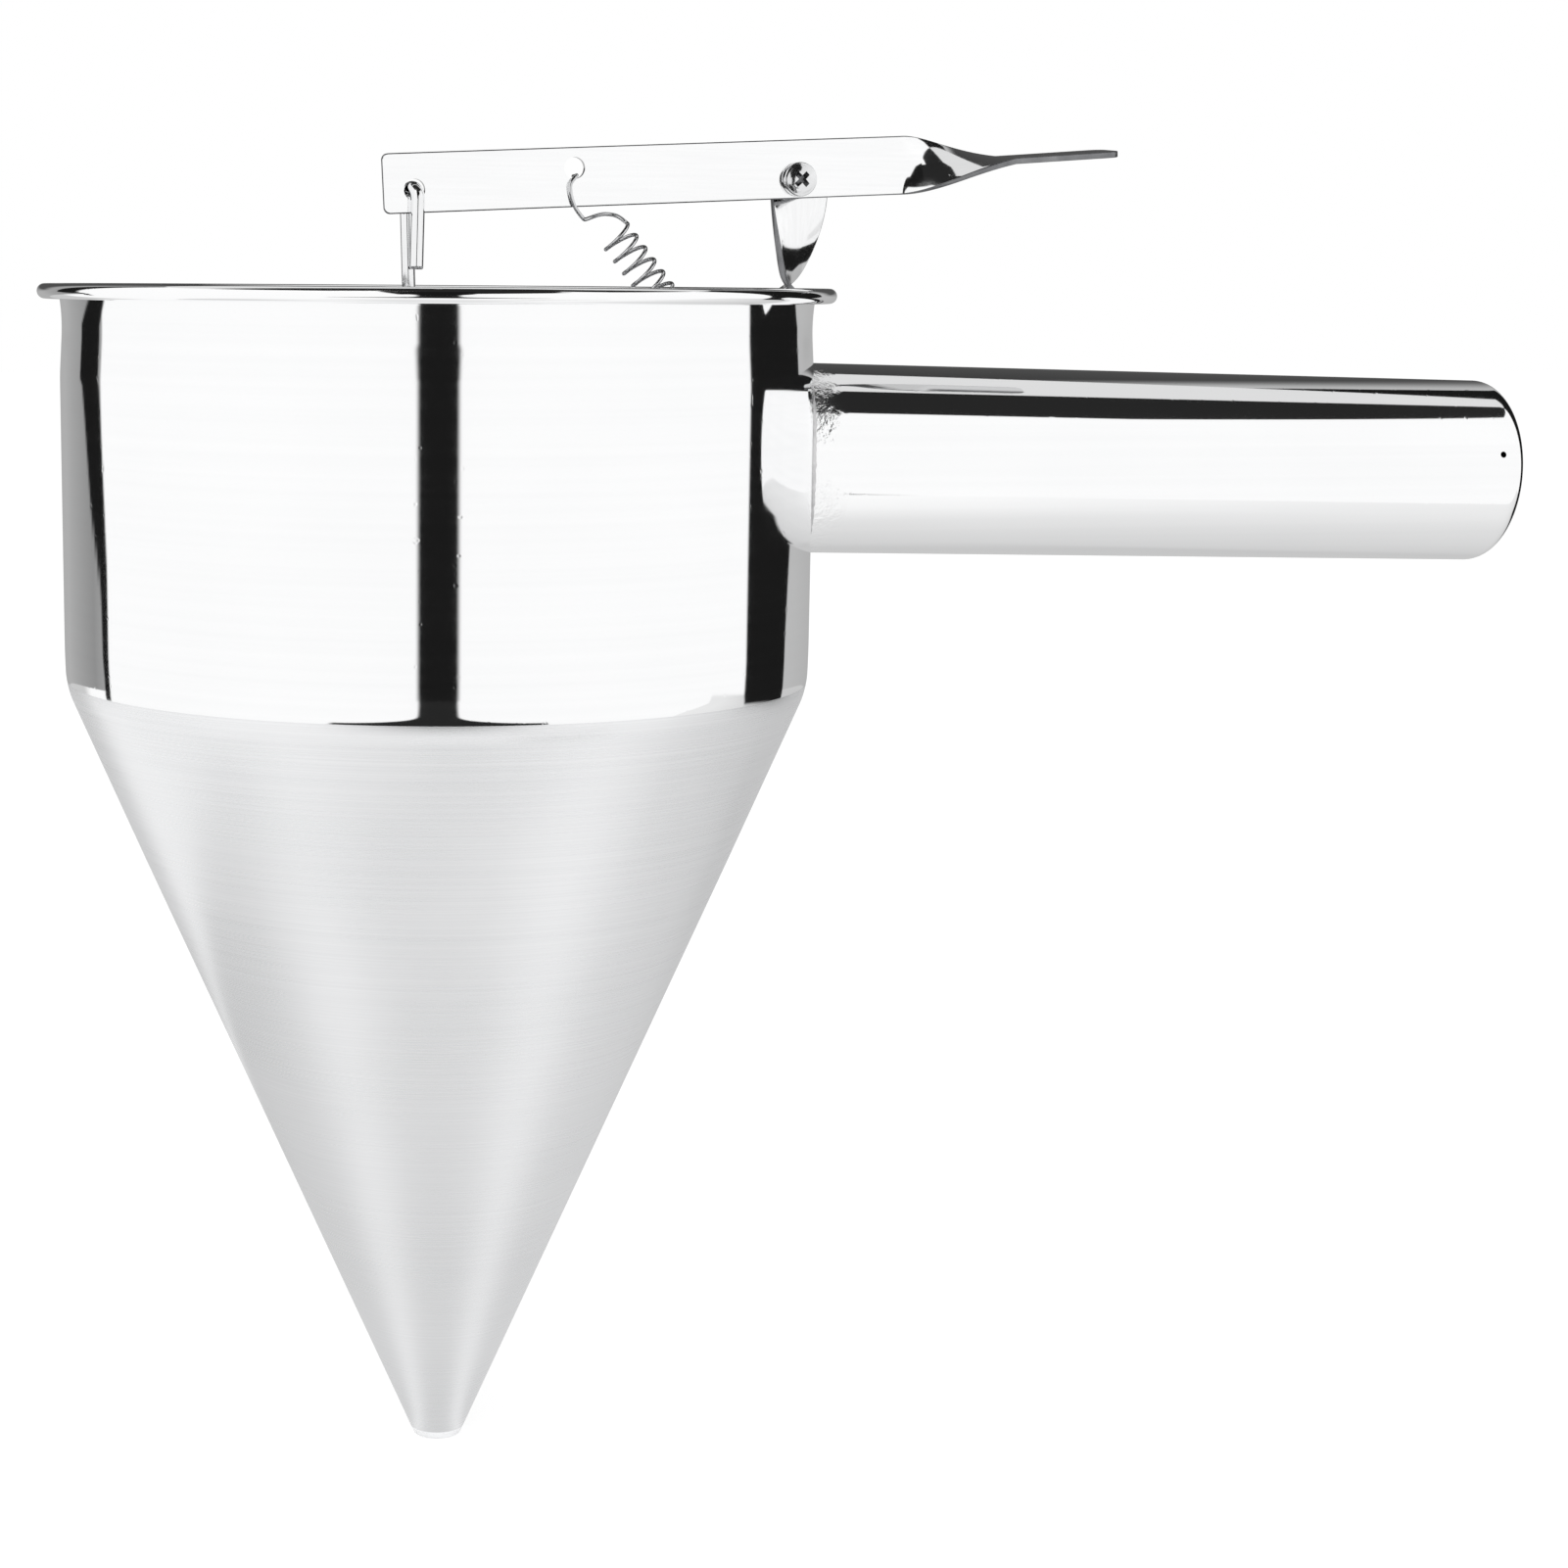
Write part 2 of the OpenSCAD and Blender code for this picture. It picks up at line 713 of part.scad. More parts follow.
// The lower hook runs down the coil's side, under the lug's tip and up through its hole
function lower_hook() =
    let (side_x = lug_tip_x - wire_r - spring_gap,
         under_z = lug_z - bracket_t / 2 - wire_r - spring_gap,
         bend = 2 * wire_r,
         coil_end = spring_len - coil_end_share * coil_r)
    concat([spring_point(coil_end + coil_r / 6, coil_r * 1.4, lever_mid_y - coil_r / 4),
            spring_point(coil_end + coil_r / 2, coil_r * 1.3, lever_mid_y - coil_r / 4)],
           [for (p = [[side_x, lug_z + bracket_t], [side_x, lug_z],
                      [side_x, under_z + bend], [side_x + bend / 3, under_z + bend / 3],
                      [side_x + bend, under_z], [lug_hole_x - bend, under_z],
                      [lug_hole_x - bend / 3, under_z + bend / 3],
                      [lug_hole_x, under_z + bend],
                      [lug_hole_x, lug_z + bracket_t / 2 + spring_tail / 3],
                      [lug_hole_x, lug_z + bracket_t / 2 + spring_tail]])
               [p[0], -lever_mid_y, p[1]]]);

function unit(v) = v / norm(v);

// Rings of a round wire along a path; each ring's frame is carried on from the one before
function wire_rings(path, radius, sides) =
    let (count = len(path),
         ways = [for (i = [0:count - 1])
                    unit(path[min(i + 1, count - 1)] - path[max(i - 1, 0)])],
         first = unit(cross(ways[0], [1, 0, 0])),
         frames = [for (i = 0, n = first; i < count;
                        i = i + 1,
                        n = i < count ? unit(n - (n * ways[i]) * ways[i]) : n) n])
    [for (i = [0:count - 1])
        let (n = frames[i], b = cross(ways[i], n))
        [for (j = [0:sides - 1])
            let (turn = -360 * j / sides)
            path[i] + radius * (cos(turn) * n + sin(turn) * b)]];

// The least gap between stretches of the wire that aren't neighbours
function wire_gap(path, radius, skip) =
    min([for (i = [0:len(path) - 1 - skip], j = [i + skip:len(path) - 1])
            norm(path[i] - path[j])]) - 2 * radius;

spring_path = concat(upper_hook(), coil(), lower_hook());
echo(str("Least gap of the spring to itself, in mm: ", wire_gap(spring_path, wire_r, 6)));

module return_spring() {
    color("gray")
        ring_skin(wire_rings(spring_path, wire_r, 6), false);
}

cup_shell();
cone_shell();
handle_tube();
handle_end_cap();
handle_weld();
bracket();
bracket_welds();
pivot_screw();
pivot_spacer();
pivot_nut();
lever();
plunger_rod();
plunger_plug();
return_spring();
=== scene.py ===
import bmesh
import bpy
import numpy as np
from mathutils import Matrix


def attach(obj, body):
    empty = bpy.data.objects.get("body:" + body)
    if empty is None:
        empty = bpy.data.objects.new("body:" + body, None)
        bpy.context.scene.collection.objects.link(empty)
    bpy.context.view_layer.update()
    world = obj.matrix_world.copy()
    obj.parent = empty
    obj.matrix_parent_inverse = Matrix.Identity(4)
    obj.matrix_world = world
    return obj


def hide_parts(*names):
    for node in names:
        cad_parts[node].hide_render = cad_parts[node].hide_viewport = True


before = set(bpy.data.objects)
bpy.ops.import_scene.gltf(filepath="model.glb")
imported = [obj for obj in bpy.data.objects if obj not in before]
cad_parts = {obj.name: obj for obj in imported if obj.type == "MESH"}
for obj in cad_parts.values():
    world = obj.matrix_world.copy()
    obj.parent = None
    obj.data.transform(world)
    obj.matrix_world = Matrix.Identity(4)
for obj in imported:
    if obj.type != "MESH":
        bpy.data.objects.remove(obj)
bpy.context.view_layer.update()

# Cup. Drawn from thin stainless sheet and mirror polished outside and in. Its rim is rolled
# outwards and pressed flat. Its lower edge starts the round shoulder, where the cone is butt
# welded on and ground flush. Lengths are in millimetres, from the stand ring's height.
SHEET = 0.8
CUP_R = 61.0
RIM_Z = 53.5
SEAM_Z = -10.0
HEM_R = 1.2
HEM_REACH = 3.4
SHOULDER_R = 12.0
SHOULDER = np.array([CUP_R - SHOULDER_R, -8.585])
HEM_FOLD = 0.2


def arc(centre, radius, start, end, count):
    """Points centre + radius * (cos a, sin a) at count angles a from start to end, in degrees."""
    a = np.radians(np.linspace(start, end, count))
    return np.stack([centre[0] + radius * np.cos(a), centre[1] + radius * np.sin(a)], 1)


def grid_faces(rows, columns, loop_rows, loop_columns):
    """Quads of a grid of vertices, row after row; a looped side joins its last line to its
    first."""
    i, j = np.meshgrid(np.arange(rows if loop_rows else rows - 1),
                       np.arange(columns if loop_columns else columns - 1), indexing="ij")
    i, j = i.ravel(), j.ravel()
    up, right = (i + 1) % rows, (j + 1) % columns
    return np.stack([i * columns + j, i * columns + right, up * columns + right,
                     up * columns + j], 1).tolist()


def lathe_points(outline, count):
    """An outline of (radius, height) turned about Z: (r cos t, r sin t, z) at count angles t."""
    t = np.linspace(0, 2 * np.pi, count, endpoint=False)[:, None]
    r, z = outline[:, 0][None], outline[:, 1][None]
    return np.stack([r * np.cos(t), r * np.sin(t), z + 0 * t], 2).reshape(-1, 3)


def closed_mesh(name, points, faces):
    """A closed mesh from points in millimetres, with poles merged and faces turned outwards."""
    mesh = bpy.data.meshes.new(name)
    mesh.from_pydata((np.asarray(points, float) / 1000).tolist(), [], faces)
    work = bmesh.new()
    work.from_mesh(mesh)
    bmesh.ops.remove_doubles(work, verts=work.verts, dist=1e-7)
    bmesh.ops.dissolve_degenerate(work, edges=work.edges, dist=1e-8)
    bmesh.ops.recalc_face_normals(work, faces=work.faces)
    work.to_mesh(mesh)
    work.free()
    return mesh


def make_piece(name, mesh, finish, body, node, sharp=40):
    """Shades a mesh smooth but for edges sharper than an angle, and puts it in a node's place."""
    mesh.polygons.foreach_set("use_smooth", np.ones(len(mesh.polygons), bool))
    mesh.set_sharp_from_angle(angle=np.radians(sharp))
    if not any(mesh.materials):
        mesh.materials.clear()
        mesh.materials.append(finish)
    piece = bpy.data.objects.new(name, mesh)
    bpy.context.collection.objects.link(piece)
    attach(piece, body)
    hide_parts(node)


def noise_at(tree, stretch, scale, detail):
    """Noise on the object's own coordinates, stretched by three factors."""
    place = tree.nodes.new("ShaderNodeTexCoord").outputs["Object"]
    mapping = tree.nodes.new("ShaderNodeMapping")
    mapping.inputs["Scale"].default_value = stretch
    tree.links.new(place, mapping.inputs["Vector"])
    noise = tree.nodes.new("ShaderNodeTexNoise")
    noise.inputs["Scale"].default_value = scale
    noise.inputs["Detail"].default_value = detail
    tree.links.new(mapping.outputs["Vector"], noise.inputs["Vector"])
    return noise.outputs["Fac"]


def ranged(tree, value, low, high, start, end):
    """Maps a value from start..end to low..high, clamped."""
    node = tree.nodes.new("ShaderNodeMapRange")
    for socket, number in zip(("From Min", "From Max", "To Min", "To Max"),
                              (start, end, low, high)):
        node.inputs[socket].default_value = number
    tree.links.new(value, node.inputs["Value"])
    return node.outputs["Result"]


def bumped(tree, height, distance, under):
    """Full bump of a height over a distance, on top of another one where it is given."""
    bump = tree.nodes.new("ShaderNodeBump")
    bump.inputs["Distance"].default_value = distance
    bump.inputs["Strength"].default_value = 1.0
    tree.links.new(height, bump.inputs["Height"])
    if under is not None:
        tree.links.new(under, bump.inputs["Normal"])
    return bump.outputs["Normal"]


def steel(name, dark, light, smooth, rough, grain_way, grain_scale, grain_bump, wave, pits):
    """Stainless steel. Noise drawn out along the grain, with slow clouds, drives its colour from
    dark to light and its roughness from smooth to rough. The grain is a fine bump on a slow wave,
    and rare spots are polishing pits; these three are given by their heights in metres."""
    material = bpy.data.materials.new(name)
    material.use_nodes = True
    tree = material.node_tree
    shader = tree.nodes["Principled BSDF"]
    grain = noise_at(tree, grain_way, grain_scale, 4.0)
    cloud = noise_at(tree, EVEN, 35.0, 3.0)
    both = tree.nodes.new("ShaderNodeMath")
    both.operation = "ADD"
    tree.links.new(ranged(tree, grain, 0.0, 0.6, 0.3, 0.7), both.inputs[0])
    tree.links.new(ranged(tree, cloud, 0.0, 0.4, 0.3, 0.7), both.inputs[1])
    mix = tree.nodes.new("ShaderNodeMix")
    mix.data_type = "RGBA"
    mix.inputs["A"].default_value = (*dark, 1)
    mix.inputs["B"].default_value = (*light, 1)
    tree.links.new(both.outputs["Value"], mix.inputs["Factor"])
    tree.links.new(mix.outputs["Result"], shader.inputs["Base Color"])
    tree.links.new(ranged(tree, both.outputs["Value"], smooth, rough, 0.0, 1.0),
                   shader.inputs["Roughness"])
    slow = bumped(tree, noise_at(tree, EVEN, 20.0, 1.0), wave, None)
    fine = bumped(tree, grain, grain_bump, slow)
    spots = ranged(tree, noise_at(tree, EVEN, 900.0, 0.0), 1.0, 0.0, 0.72, 0.8)
    tree.links.new(bumped(tree, spots, pits, fine), shader.inputs["Normal"])
    shader.inputs["Metallic"].default_value = 1.0
    return material


EVEN = (1, 1, 1)
MIRROR_POLISH = ((0.945, 0.948, 0.953), (0.985, 0.987, 0.99), 0.03, 0.06, (0.1, 0.1, 20), 30.0,
                 5e-8, 1e-5, 1.5e-6)
polished = steel("polished stainless", *MIRROR_POLISH)

hem_in = np.array([CUP_R - SHEET + HEM_R, RIM_Z - HEM_R])
hem_out = np.array([CUP_R + HEM_REACH - HEM_R, RIM_Z - HEM_R])
seam_outer = -np.degrees(np.arcsin((SHOULDER[1] - SEAM_Z) / SHOULDER_R))
seam_inner = -np.degrees(np.arcsin((SHOULDER[1] - SEAM_Z) / (SHOULDER_R - SHEET)))
# The wall is straight from the first of these heights to the second. The press leaves the sheet
# a touch waisted below them, over the seam, and above them, under the rim: slope by height.
STRAIGHT_FROM, STRAIGHT_TO, NECK_TOP, WALL_TOP = -3, 38, 47, 52.3
wall = np.concatenate([np.linspace(SHOULDER[1], STRAIGHT_FROM, 14)[1:],
                       np.linspace(STRAIGHT_FROM, STRAIGHT_TO, 11)[1:],
                       np.linspace(STRAIGHT_TO, NECK_TOP, 16)[1:],
                       np.linspace(NECK_TOP, WALL_TOP, 18)[1:-1]])
SLOPE_AT = [-42, -40, -12, -9.5, STRAIGHT_FROM, STRAIGHT_TO, 40, 45, NECK_TOP, 51.1, WALL_TOP,
            52.4]
SLOPES = [0, -0.007, -0.007, 0.043, 0, 0, -0.06, -0.06, 0, 0.13, 0.13, 0]
level = np.linspace(-42, 53, 1901)
waist = np.cumsum(np.interp(level, SLOPE_AT, SLOPES)) * (level[1] - level[0])


def waisted(outline):
    """An outline with the waist's small radius change at each height added to its radius."""
    return outline + np.interp(outline[:, 1], level, waist)[:, None] * [1, 0]


cup_outline = np.concatenate([
    waisted(arc(SHOULDER, SHOULDER_R, seam_outer, 0, 8)),
    waisted(np.stack([0 * wall + CUP_R, wall], 1)),
    arc(hem_in, HEM_R - SHEET, 180, 90, 7),
    arc(hem_out, HEM_R - SHEET, 90, -90, 11),
    [[CUP_R + HEM_FOLD, RIM_Z - 2 * HEM_R + SHEET], [CUP_R + HEM_FOLD, RIM_Z - 2 * HEM_R]],
    arc(hem_out, HEM_R, -90, 90, 17),
    arc(hem_in, HEM_R, 90, 180, 11),
    waisted(np.stack([0 * wall + CUP_R - SHEET, wall[::-1]], 1)),
    waisted(arc(SHOULDER, SHOULDER_R - SHEET, 0, seam_inner, 8))])
AROUND = 288
make_piece(
    "cup", closed_mesh("cup", lathe_points(cup_outline, AROUND),
                       grid_faces(AROUND, len(cup_outline), True, True)),
    polished, "root", "cup_shell")

# Cone. Rolled from the same sheet with its seam ground away, and brushed to a satin finish in
# fine rings. Its upper edge is the lower part of the shoulder, and its end is cut square and
# ground thin for the nozzle, 8 mm wide.
TIP_Z = -141.1
NOZZLE_R = 4.0
CONE_H = 130.0
CONE_ANGLE = np.arctan2(CUP_R - NOZZLE_R, CONE_H)
GROUND_OFF = 0.14
MOUTH_R = NOZZLE_R - SHEET / np.cos(CONE_ANGLE)
satin = steel("satin stainless", (0.80, 0.805, 0.815), (0.90, 0.903, 0.91), 0.24, 0.34,
              (0.06, 0.06, 60), 60.0, 1.2e-6, 1e-6, 5e-7)
cone_degrees = -np.degrees(CONE_ANGLE)
side = np.linspace(0, 1, 40)[1:-1, None]
shoulder_out = arc(SHOULDER, SHOULDER_R, seam_outer, cone_degrees, 14)
shoulder_in = arc(SHOULDER, SHOULDER_R - SHEET, cone_degrees, seam_inner, 14)
nozzle_out, nozzle_in = np.array([NOZZLE_R, TIP_Z]), np.array([MOUTH_R, TIP_Z])
cone_outline = np.concatenate([
    shoulder_out, shoulder_out[-1] + side * (nozzle_out - shoulder_out[-1]),
    [nozzle_out + [0.06, GROUND_OFF], nozzle_out - [0.12, 0], nozzle_in + [0.08, 0]],
    nozzle_in + side * (shoulder_in[0] - nozzle_in), shoulder_in])
make_piece(
    "cone", closed_mesh("cone", lathe_points(waisted(cone_outline), AROUND),
                        grid_faces(AROUND, len(cone_outline), True, True)),
    satin, "root", "cone_shell")

# Handle tube. A piece of welded stainless tube, 31.8 mm across, cut at its root to the cup's
# round and polished like it. A small hole near its end lets the air out while the cap is
# welded on.
HANDLE_R = 15.9
HANDLE_WALL = 1.2
HANDLE_Z = RIM_Z - 28.2
TUBE_LEN = 125.8
DROOP = np.radians(1.4)
VENT_AT, VENT_TURN, VENT_R = 124.5, 13.0, 0.55
TUBE_SIDES = 240
JOINT_GAP = 0.02
SPATTER_FULL, SPATTER_END = 0.0622, 0.0658


def on_handle(out, turn, radius):
    """A point by its distance out along the handle and its turn and radius round it: the cup's
    wall + out * along + radius * (cos turn * up + sin turn * aside)."""
    up, aside = radius * np.cos(turn), radius * np.sin(turn)
    return np.stack([CUP_R + out * np.cos(DROOP) + up * np.sin(DROOP), aside + 0 * out,
                     HANDLE_Z - out * np.sin(DROOP) + up * np.cos(DROOP)], -1)


def root_out(turn, radius, off):
    """Distance out at which a line along the handle leaves a cylinder round the cup's axis."""
    reach = np.sqrt((CUP_R + off) ** 2 - (radius * np.sin(turn)) ** 2)
    return (reach - CUP_R - radius * np.cos(turn) * np.sin(DROOP)) / np.cos(DROOP)


def cut_away(mesh, *cutters):
    """Takes closed cutter meshes away from a mesh and returns the result as a new mesh."""
    block = bpy.data.objects.new("blank", mesh)
    bpy.context.collection.objects.link(block)
    tools = []
    for cutter in cutters:
        tool = bpy.data.objects.new("cutter", cutter)
        bpy.context.collection.objects.link(tool)
        cut = block.modifiers.new("cut", "BOOLEAN")
        cut.operation, cut.solver, cut.object = "DIFFERENCE", "EXACT", tool
        cut.material_mode = "TRANSFER"
        tools.append(tool)
    graph = bpy.context.evaluated_depsgraph_get()
    result = bpy.data.meshes.new_from_object(block.evaluated_get(graph))
    for done in [block, *tools]:
        bpy.data.objects.remove(done)
    return result


def drill(start, end, radius):
    """A closed round cutter from a start to an end point: points start + (end - start) * share +
    radius * (cos t * a + sin t * b), where a and b stand square to its axis."""
    start, end = np.asarray(start, float), np.asarray(end, float)
    way = (end - start) / np.linalg.norm(end - start)
    a = np.cross(way, [0.0, 0.0, 1.0] if abs(way[2]) < 0.9 else [1.0, 0.0, 0.0])
    a /= np.linalg.norm(a)
    b = np.cross(way, a)
    sides = 40
    t = np.linspace(0, 2 * np.pi, sides, endpoint=False)[:, None]
    ring = radius * (np.cos(t) * a + np.sin(t) * b)
    ends = [list(range(sides)), list(range(sides, 2 * sides))]
    faces = grid_faces(2, sides, False, True) + ends
    return closed_mesh("cutter", np.concatenate([start + ring, end + ring]), faces)


# Within a few millimetres of its root the tube is spattered and roughened by the welding
tube_finish = steel("polished tube", *MIRROR_POLISH)
tree = tube_finish.node_tree
shader = tree.nodes["Principled BSDF"]
axes = tree.nodes.new("ShaderNodeSeparateXYZ")
tree.links.new(tree.nodes.new("ShaderNodeTexCoord").outputs["Object"], axes.inputs[0])
by_weld = ranged(tree, axes.outputs["X"], 1.0, 0.0, SPATTER_FULL, SPATTER_END)
spatter = tree.nodes.new("ShaderNodeMath")
spatter.operation = "MULTIPLY"
tree.links.new(by_weld, spatter.inputs[0])
tree.links.new(noise_at(tree, EVEN, 1100.0, 3.0), spatter.inputs[1])
rougher = tree.nodes.new("ShaderNodeMath")
rougher.operation, rougher.inputs[1].default_value = "MULTIPLY_ADD", 0.22
tree.links.new(spatter.outputs["Value"], rougher.inputs[0])
tree.links.new(shader.inputs["Roughness"].links[0].from_socket, rougher.inputs[2])
tree.links.new(rougher.outputs["Value"], shader.inputs["Roughness"])
tree.links.new(bumped(tree, spatter.outputs["Value"], 1.6e-4,
                      shader.inputs["Normal"].links[0].from_socket), shader.inputs["Normal"])
turn = np.linspace(0, 2 * np.pi, TUBE_SIDES, endpoint=False)[None]
share = np.linspace(0, 1, 60)[:, None]
outer = root_out(turn, HANDLE_R, JOINT_GAP)
inner = root_out(turn, HANDLE_R - HANDLE_WALL, JOINT_GAP)
tube_points = np.concatenate([
    on_handle(outer + share * (TUBE_LEN - outer), turn, HANDLE_R),
    on_handle(inner + share[::-1] * (TUBE_LEN - inner), turn, HANDLE_R - HANDLE_WALL)])
vent_turn = np.radians(-90 + VENT_TURN)
vent = [on_handle(np.float64(VENT_AT), vent_turn, r) for r in (HANDLE_R - 2, HANDLE_R + 2)]
tube_mesh = closed_mesh("handle_tube", tube_points.reshape(-1, 3),
                        grid_faces(len(tube_points), TUBE_SIDES, True, True))
make_piece("handle_tube", cut_away(tube_mesh, drill(*vent, VENT_R)), tube_finish, "root",
           "handle_tube")

# End cap. A shallow pressed cap with a round corner and a slight crown, welded on to the tube's
# end, ground flush and polished with it.
CAP_CORNER = 3.0
CAP_CROWN = 1.2
CAP_LEN = 5.0


def cap_outline(radius, length, corner):
    """Half outline of a domed cap: its side, a corner arc, and a parabola to the middle."""
    flat = radius - corner
    reach = np.linspace(1, 0, 16)
    return np.concatenate([
        [[radius, 0]], arc((flat, length - CAP_CROWN - corner), corner, 0, 90, 14),
        np.stack([flat * reach, length - CAP_CROWN * reach ** 2], 1)[1:]])


cap_out = cap_outline(HANDLE_R, CAP_LEN, CAP_CORNER)
cap_in = cap_outline(HANDLE_R - HANDLE_WALL, CAP_LEN - HANDLE_WALL, CAP_CORNER - HANDLE_WALL)
cap_ring = np.concatenate([cap_out, cap_in[::-1]])[:, None]
cap_points = on_handle(TUBE_LEN + cap_ring[:, :, 1], turn, cap_ring[:, :, 0])
make_piece(
    "handle_cap", closed_mesh("handle_cap", cap_points.reshape(-1, 3),
                              grid_faces(len(cap_ring), TUBE_SIDES, True, True)),
    polished, "root", "handle_end_cap")

# Handle weld. A fillet run by hand round the root of the handle, brushed but not polished away,
# so it stays duller and a little uneven against the mirror finish on both sides.
WELD_LEG = 0.9
WELD_SIDES = 480
weld_finish = steel("brushed weld", (0.45, 0.45, 0.455), (0.74, 0.74, 0.745), 0.22, 0.5,
                    EVEN, 500.0, 2e-5, 4e-5, 2e-5)
weld_turn = np.linspace(0, 2 * np.pi, WELD_SIDES, endpoint=False)[None]
# Three ripples of unlike pitch make the leg uneven, by at most 12 hundredths of its length
ripple = np.sin(31 * weld_turn) + np.sin(47 * weld_turn + 1) + np.sin(75 * weld_turn + 2)
leg = WELD_LEG * (0.88 + 0.04 * ripple)
bend = np.radians(np.linspace(0, 90, 8))[:, None]
weld_foot = HANDLE_R + JOINT_GAP
weld_r = np.concatenate([weld_foot + leg * (1 - np.sin(bend)), weld_foot + 0 * leg])
weld_run = np.concatenate([leg * (1 - np.cos(bend)), 0 * leg])
weld_points = on_handle(root_out(weld_turn, weld_r, 2 * JOINT_GAP) + weld_run, weld_turn, weld_r)
make_piece(
    "handle_weld", closed_mesh("handle_weld", weld_points.reshape(-1, 3),
                               grid_faces(len(weld_points), WELD_SIDES, True, True)),
    weld_finish, "root", "handle_weld", sharp=60)

# Bracket. A strip of 1.2 mm stainless sheet, spot welded inside the cup's wall. Its top is a
# flat ear for the screw, it turns a quarter on its way down to the rim, and its foot is bent
# inwards to a lug with a hole for the spring.
STRIP_W = 9.6
BRACKET_T = 1.2
PIVOT = np.array([60.2, 0.0, RIM_Z + 17.75])
PLATE_X, FOOT_X = 61.2, 59.3
TWIST_TOP, TWIST_END = RIM_Z + 14.7, RIM_Z - 0.5
LUG_Z, LUG_HOLE_X, LUG_TIP_X = RIM_Z - 21.8, 54.6, 51.9
LUG_BEND_R, LUG_HOLE_R, LUG_CORNER = 0.6, 1.2, 0.6
TWIST_EVEN = 0.75
BRACKET_EDGE_R = 0.14
LEVER_Y = 1.4
LEVER_T = 1.0
LEVER_MID_Y = LEVER_Y + LEVER_T / 2


def strip_points(middle, wide, thick, half_w, half_t, edge):
    """Rings of a strip carried along its middle line: middle + w * wide + t * thick, where (w, t)
    runs round a rectangle with rounded edges that each ring's own half width draws in."""
    lie = np.linspace(-1, 1, FLAT_STEPS + 1)
    turned = np.radians([15, 45, 75])
    one, c, s = np.ones(len(turned)), np.cos(turned), np.sin(turned)
    core_w = np.concatenate([lie, one, one, -lie, -one, -one])
    core_t = np.concatenate([0 * lie - 1, -one, one, 0 * lie + 1, one, -one])
    off_w = np.concatenate([0 * lie, s, c, 0 * lie, -s, -c])
    off_t = np.concatenate([0 * lie - 1, -c, s, 0 * lie + 1, c, -s])
    w = core_w * (half_w - edge)[:, None] + edge * off_w
    t = core_t * (half_t - edge) + edge * off_t
    return (middle[:, None] + w[:, :, None] * wide[:, None]
            + t[None, :, None] * thick[:, None])


def strip_mesh(name, rings):
    """A closed strip through rings of points, with a face at each end."""
    rows, columns = rings.shape[:2]
    ends = [list(range(columns)), [(rows - 1) * columns + j for j in range(columns)]]
    return closed_mesh(name, rings.reshape(-1, 3), grid_faces(rows, columns, False, True) + ends)


def rounded_end(inset, half_w, corner):
    """Half width of a strip at an inset from its end, where round corners draw it in."""
    short = np.clip(corner - inset, 0, corner)
    return half_w - corner + np.sqrt(corner ** 2 - short ** 2)


def sheared(mesh, face_finish):
    """Gives a strip its finish, and the duller one of sheared sheet to its narrow edges."""
    mesh.materials.append(face_finish)
    mesh.materials.append(sheared_finish)
    edge = np.arange(len(mesh.polygons)) % (FLAT_STEPS + EDGE_STEPS) >= FLAT_STEPS
    edge[-2:] = True
    mesh.polygons.foreach_set("material_index", edge.astype(np.int32))
    return mesh


# Quads across a strip's flat face, and round one of its narrow edges
FLAT_STEPS, EDGE_STEPS = 20, 7
sheared_finish = steel("sheared edge", (0.12, 0.122, 0.13), (0.3, 0.303, 0.31), 0.2, 0.4,
                       EVEN, 300.0, 1e-6, 1e-6, 1e-6)
ear = np.radians(np.linspace(88, 0, 16))
down = np.linspace(0, 1, 5)[1:-1]
twist = np.linspace(0, 1, 41)
foot_end = LUG_Z + BRACKET_T / 2 + LUG_BEND_R
round_down = np.radians(np.linspace(0, -90, 9))
lug_end = FOOT_X - BRACKET_T / 2 - LUG_BEND_R
lug_in = np.concatenate([np.linspace(0, 0.9, 5), 1 - 0.1 * (1 - np.linspace(0.1, 1, 8)) ** 2])
twist_turn = np.radians(90 * (TWIST_EVEN * twist + (1 - TWIST_EVEN) * twist ** 12))
bend_mid = LUG_BEND_R + BRACKET_T / 2
foot_down = np.linspace(0, 1, 12)[1:-1]
middle_x = np.concatenate([
    PLATE_X + 0 * ear, PLATE_X + 0 * down, PLATE_X + (FOOT_X - PLATE_X) * twist ** 2,
    FOOT_X + 0 * foot_down, lug_end + bend_mid * np.cos(round_down),
    lug_end + (LUG_TIP_X - lug_end) * lug_in[1:]])
middle_z = np.concatenate([
    PIVOT[2] + STRIP_W / 2 * np.sin(ear), PIVOT[2] + (TWIST_TOP - PIVOT[2]) * down,
    TWIST_TOP + (TWIST_END - TWIST_TOP) * twist, TWIST_END + (foot_end - TWIST_END) * foot_down,
    foot_end + bend_mid * np.sin(round_down), LUG_Z + 0 * lug_in[1:]])
turned = np.concatenate([0 * ear, 0 * down, twist_turn, np.pi / 2 + 0 * foot_down,
                         np.pi / 2 + 0 * round_down, np.pi / 2 + 0 * lug_in[1:]])
tipped = np.concatenate([0 * ear, 0 * down, 0 * twist, 0 * foot_down, round_down,
                         -np.pi / 2 + 0 * lug_in[1:]])
bracket_middle = np.stack([middle_x, 0 * middle_x, middle_z], 1)
bracket_wide = np.stack([np.cos(turned), np.sin(turned), 0 * turned], 1)
bracket_thick = np.stack([-np.sin(turned) * np.cos(tipped), np.cos(turned) * np.cos(tipped),
                          -np.sin(tipped)], 1)
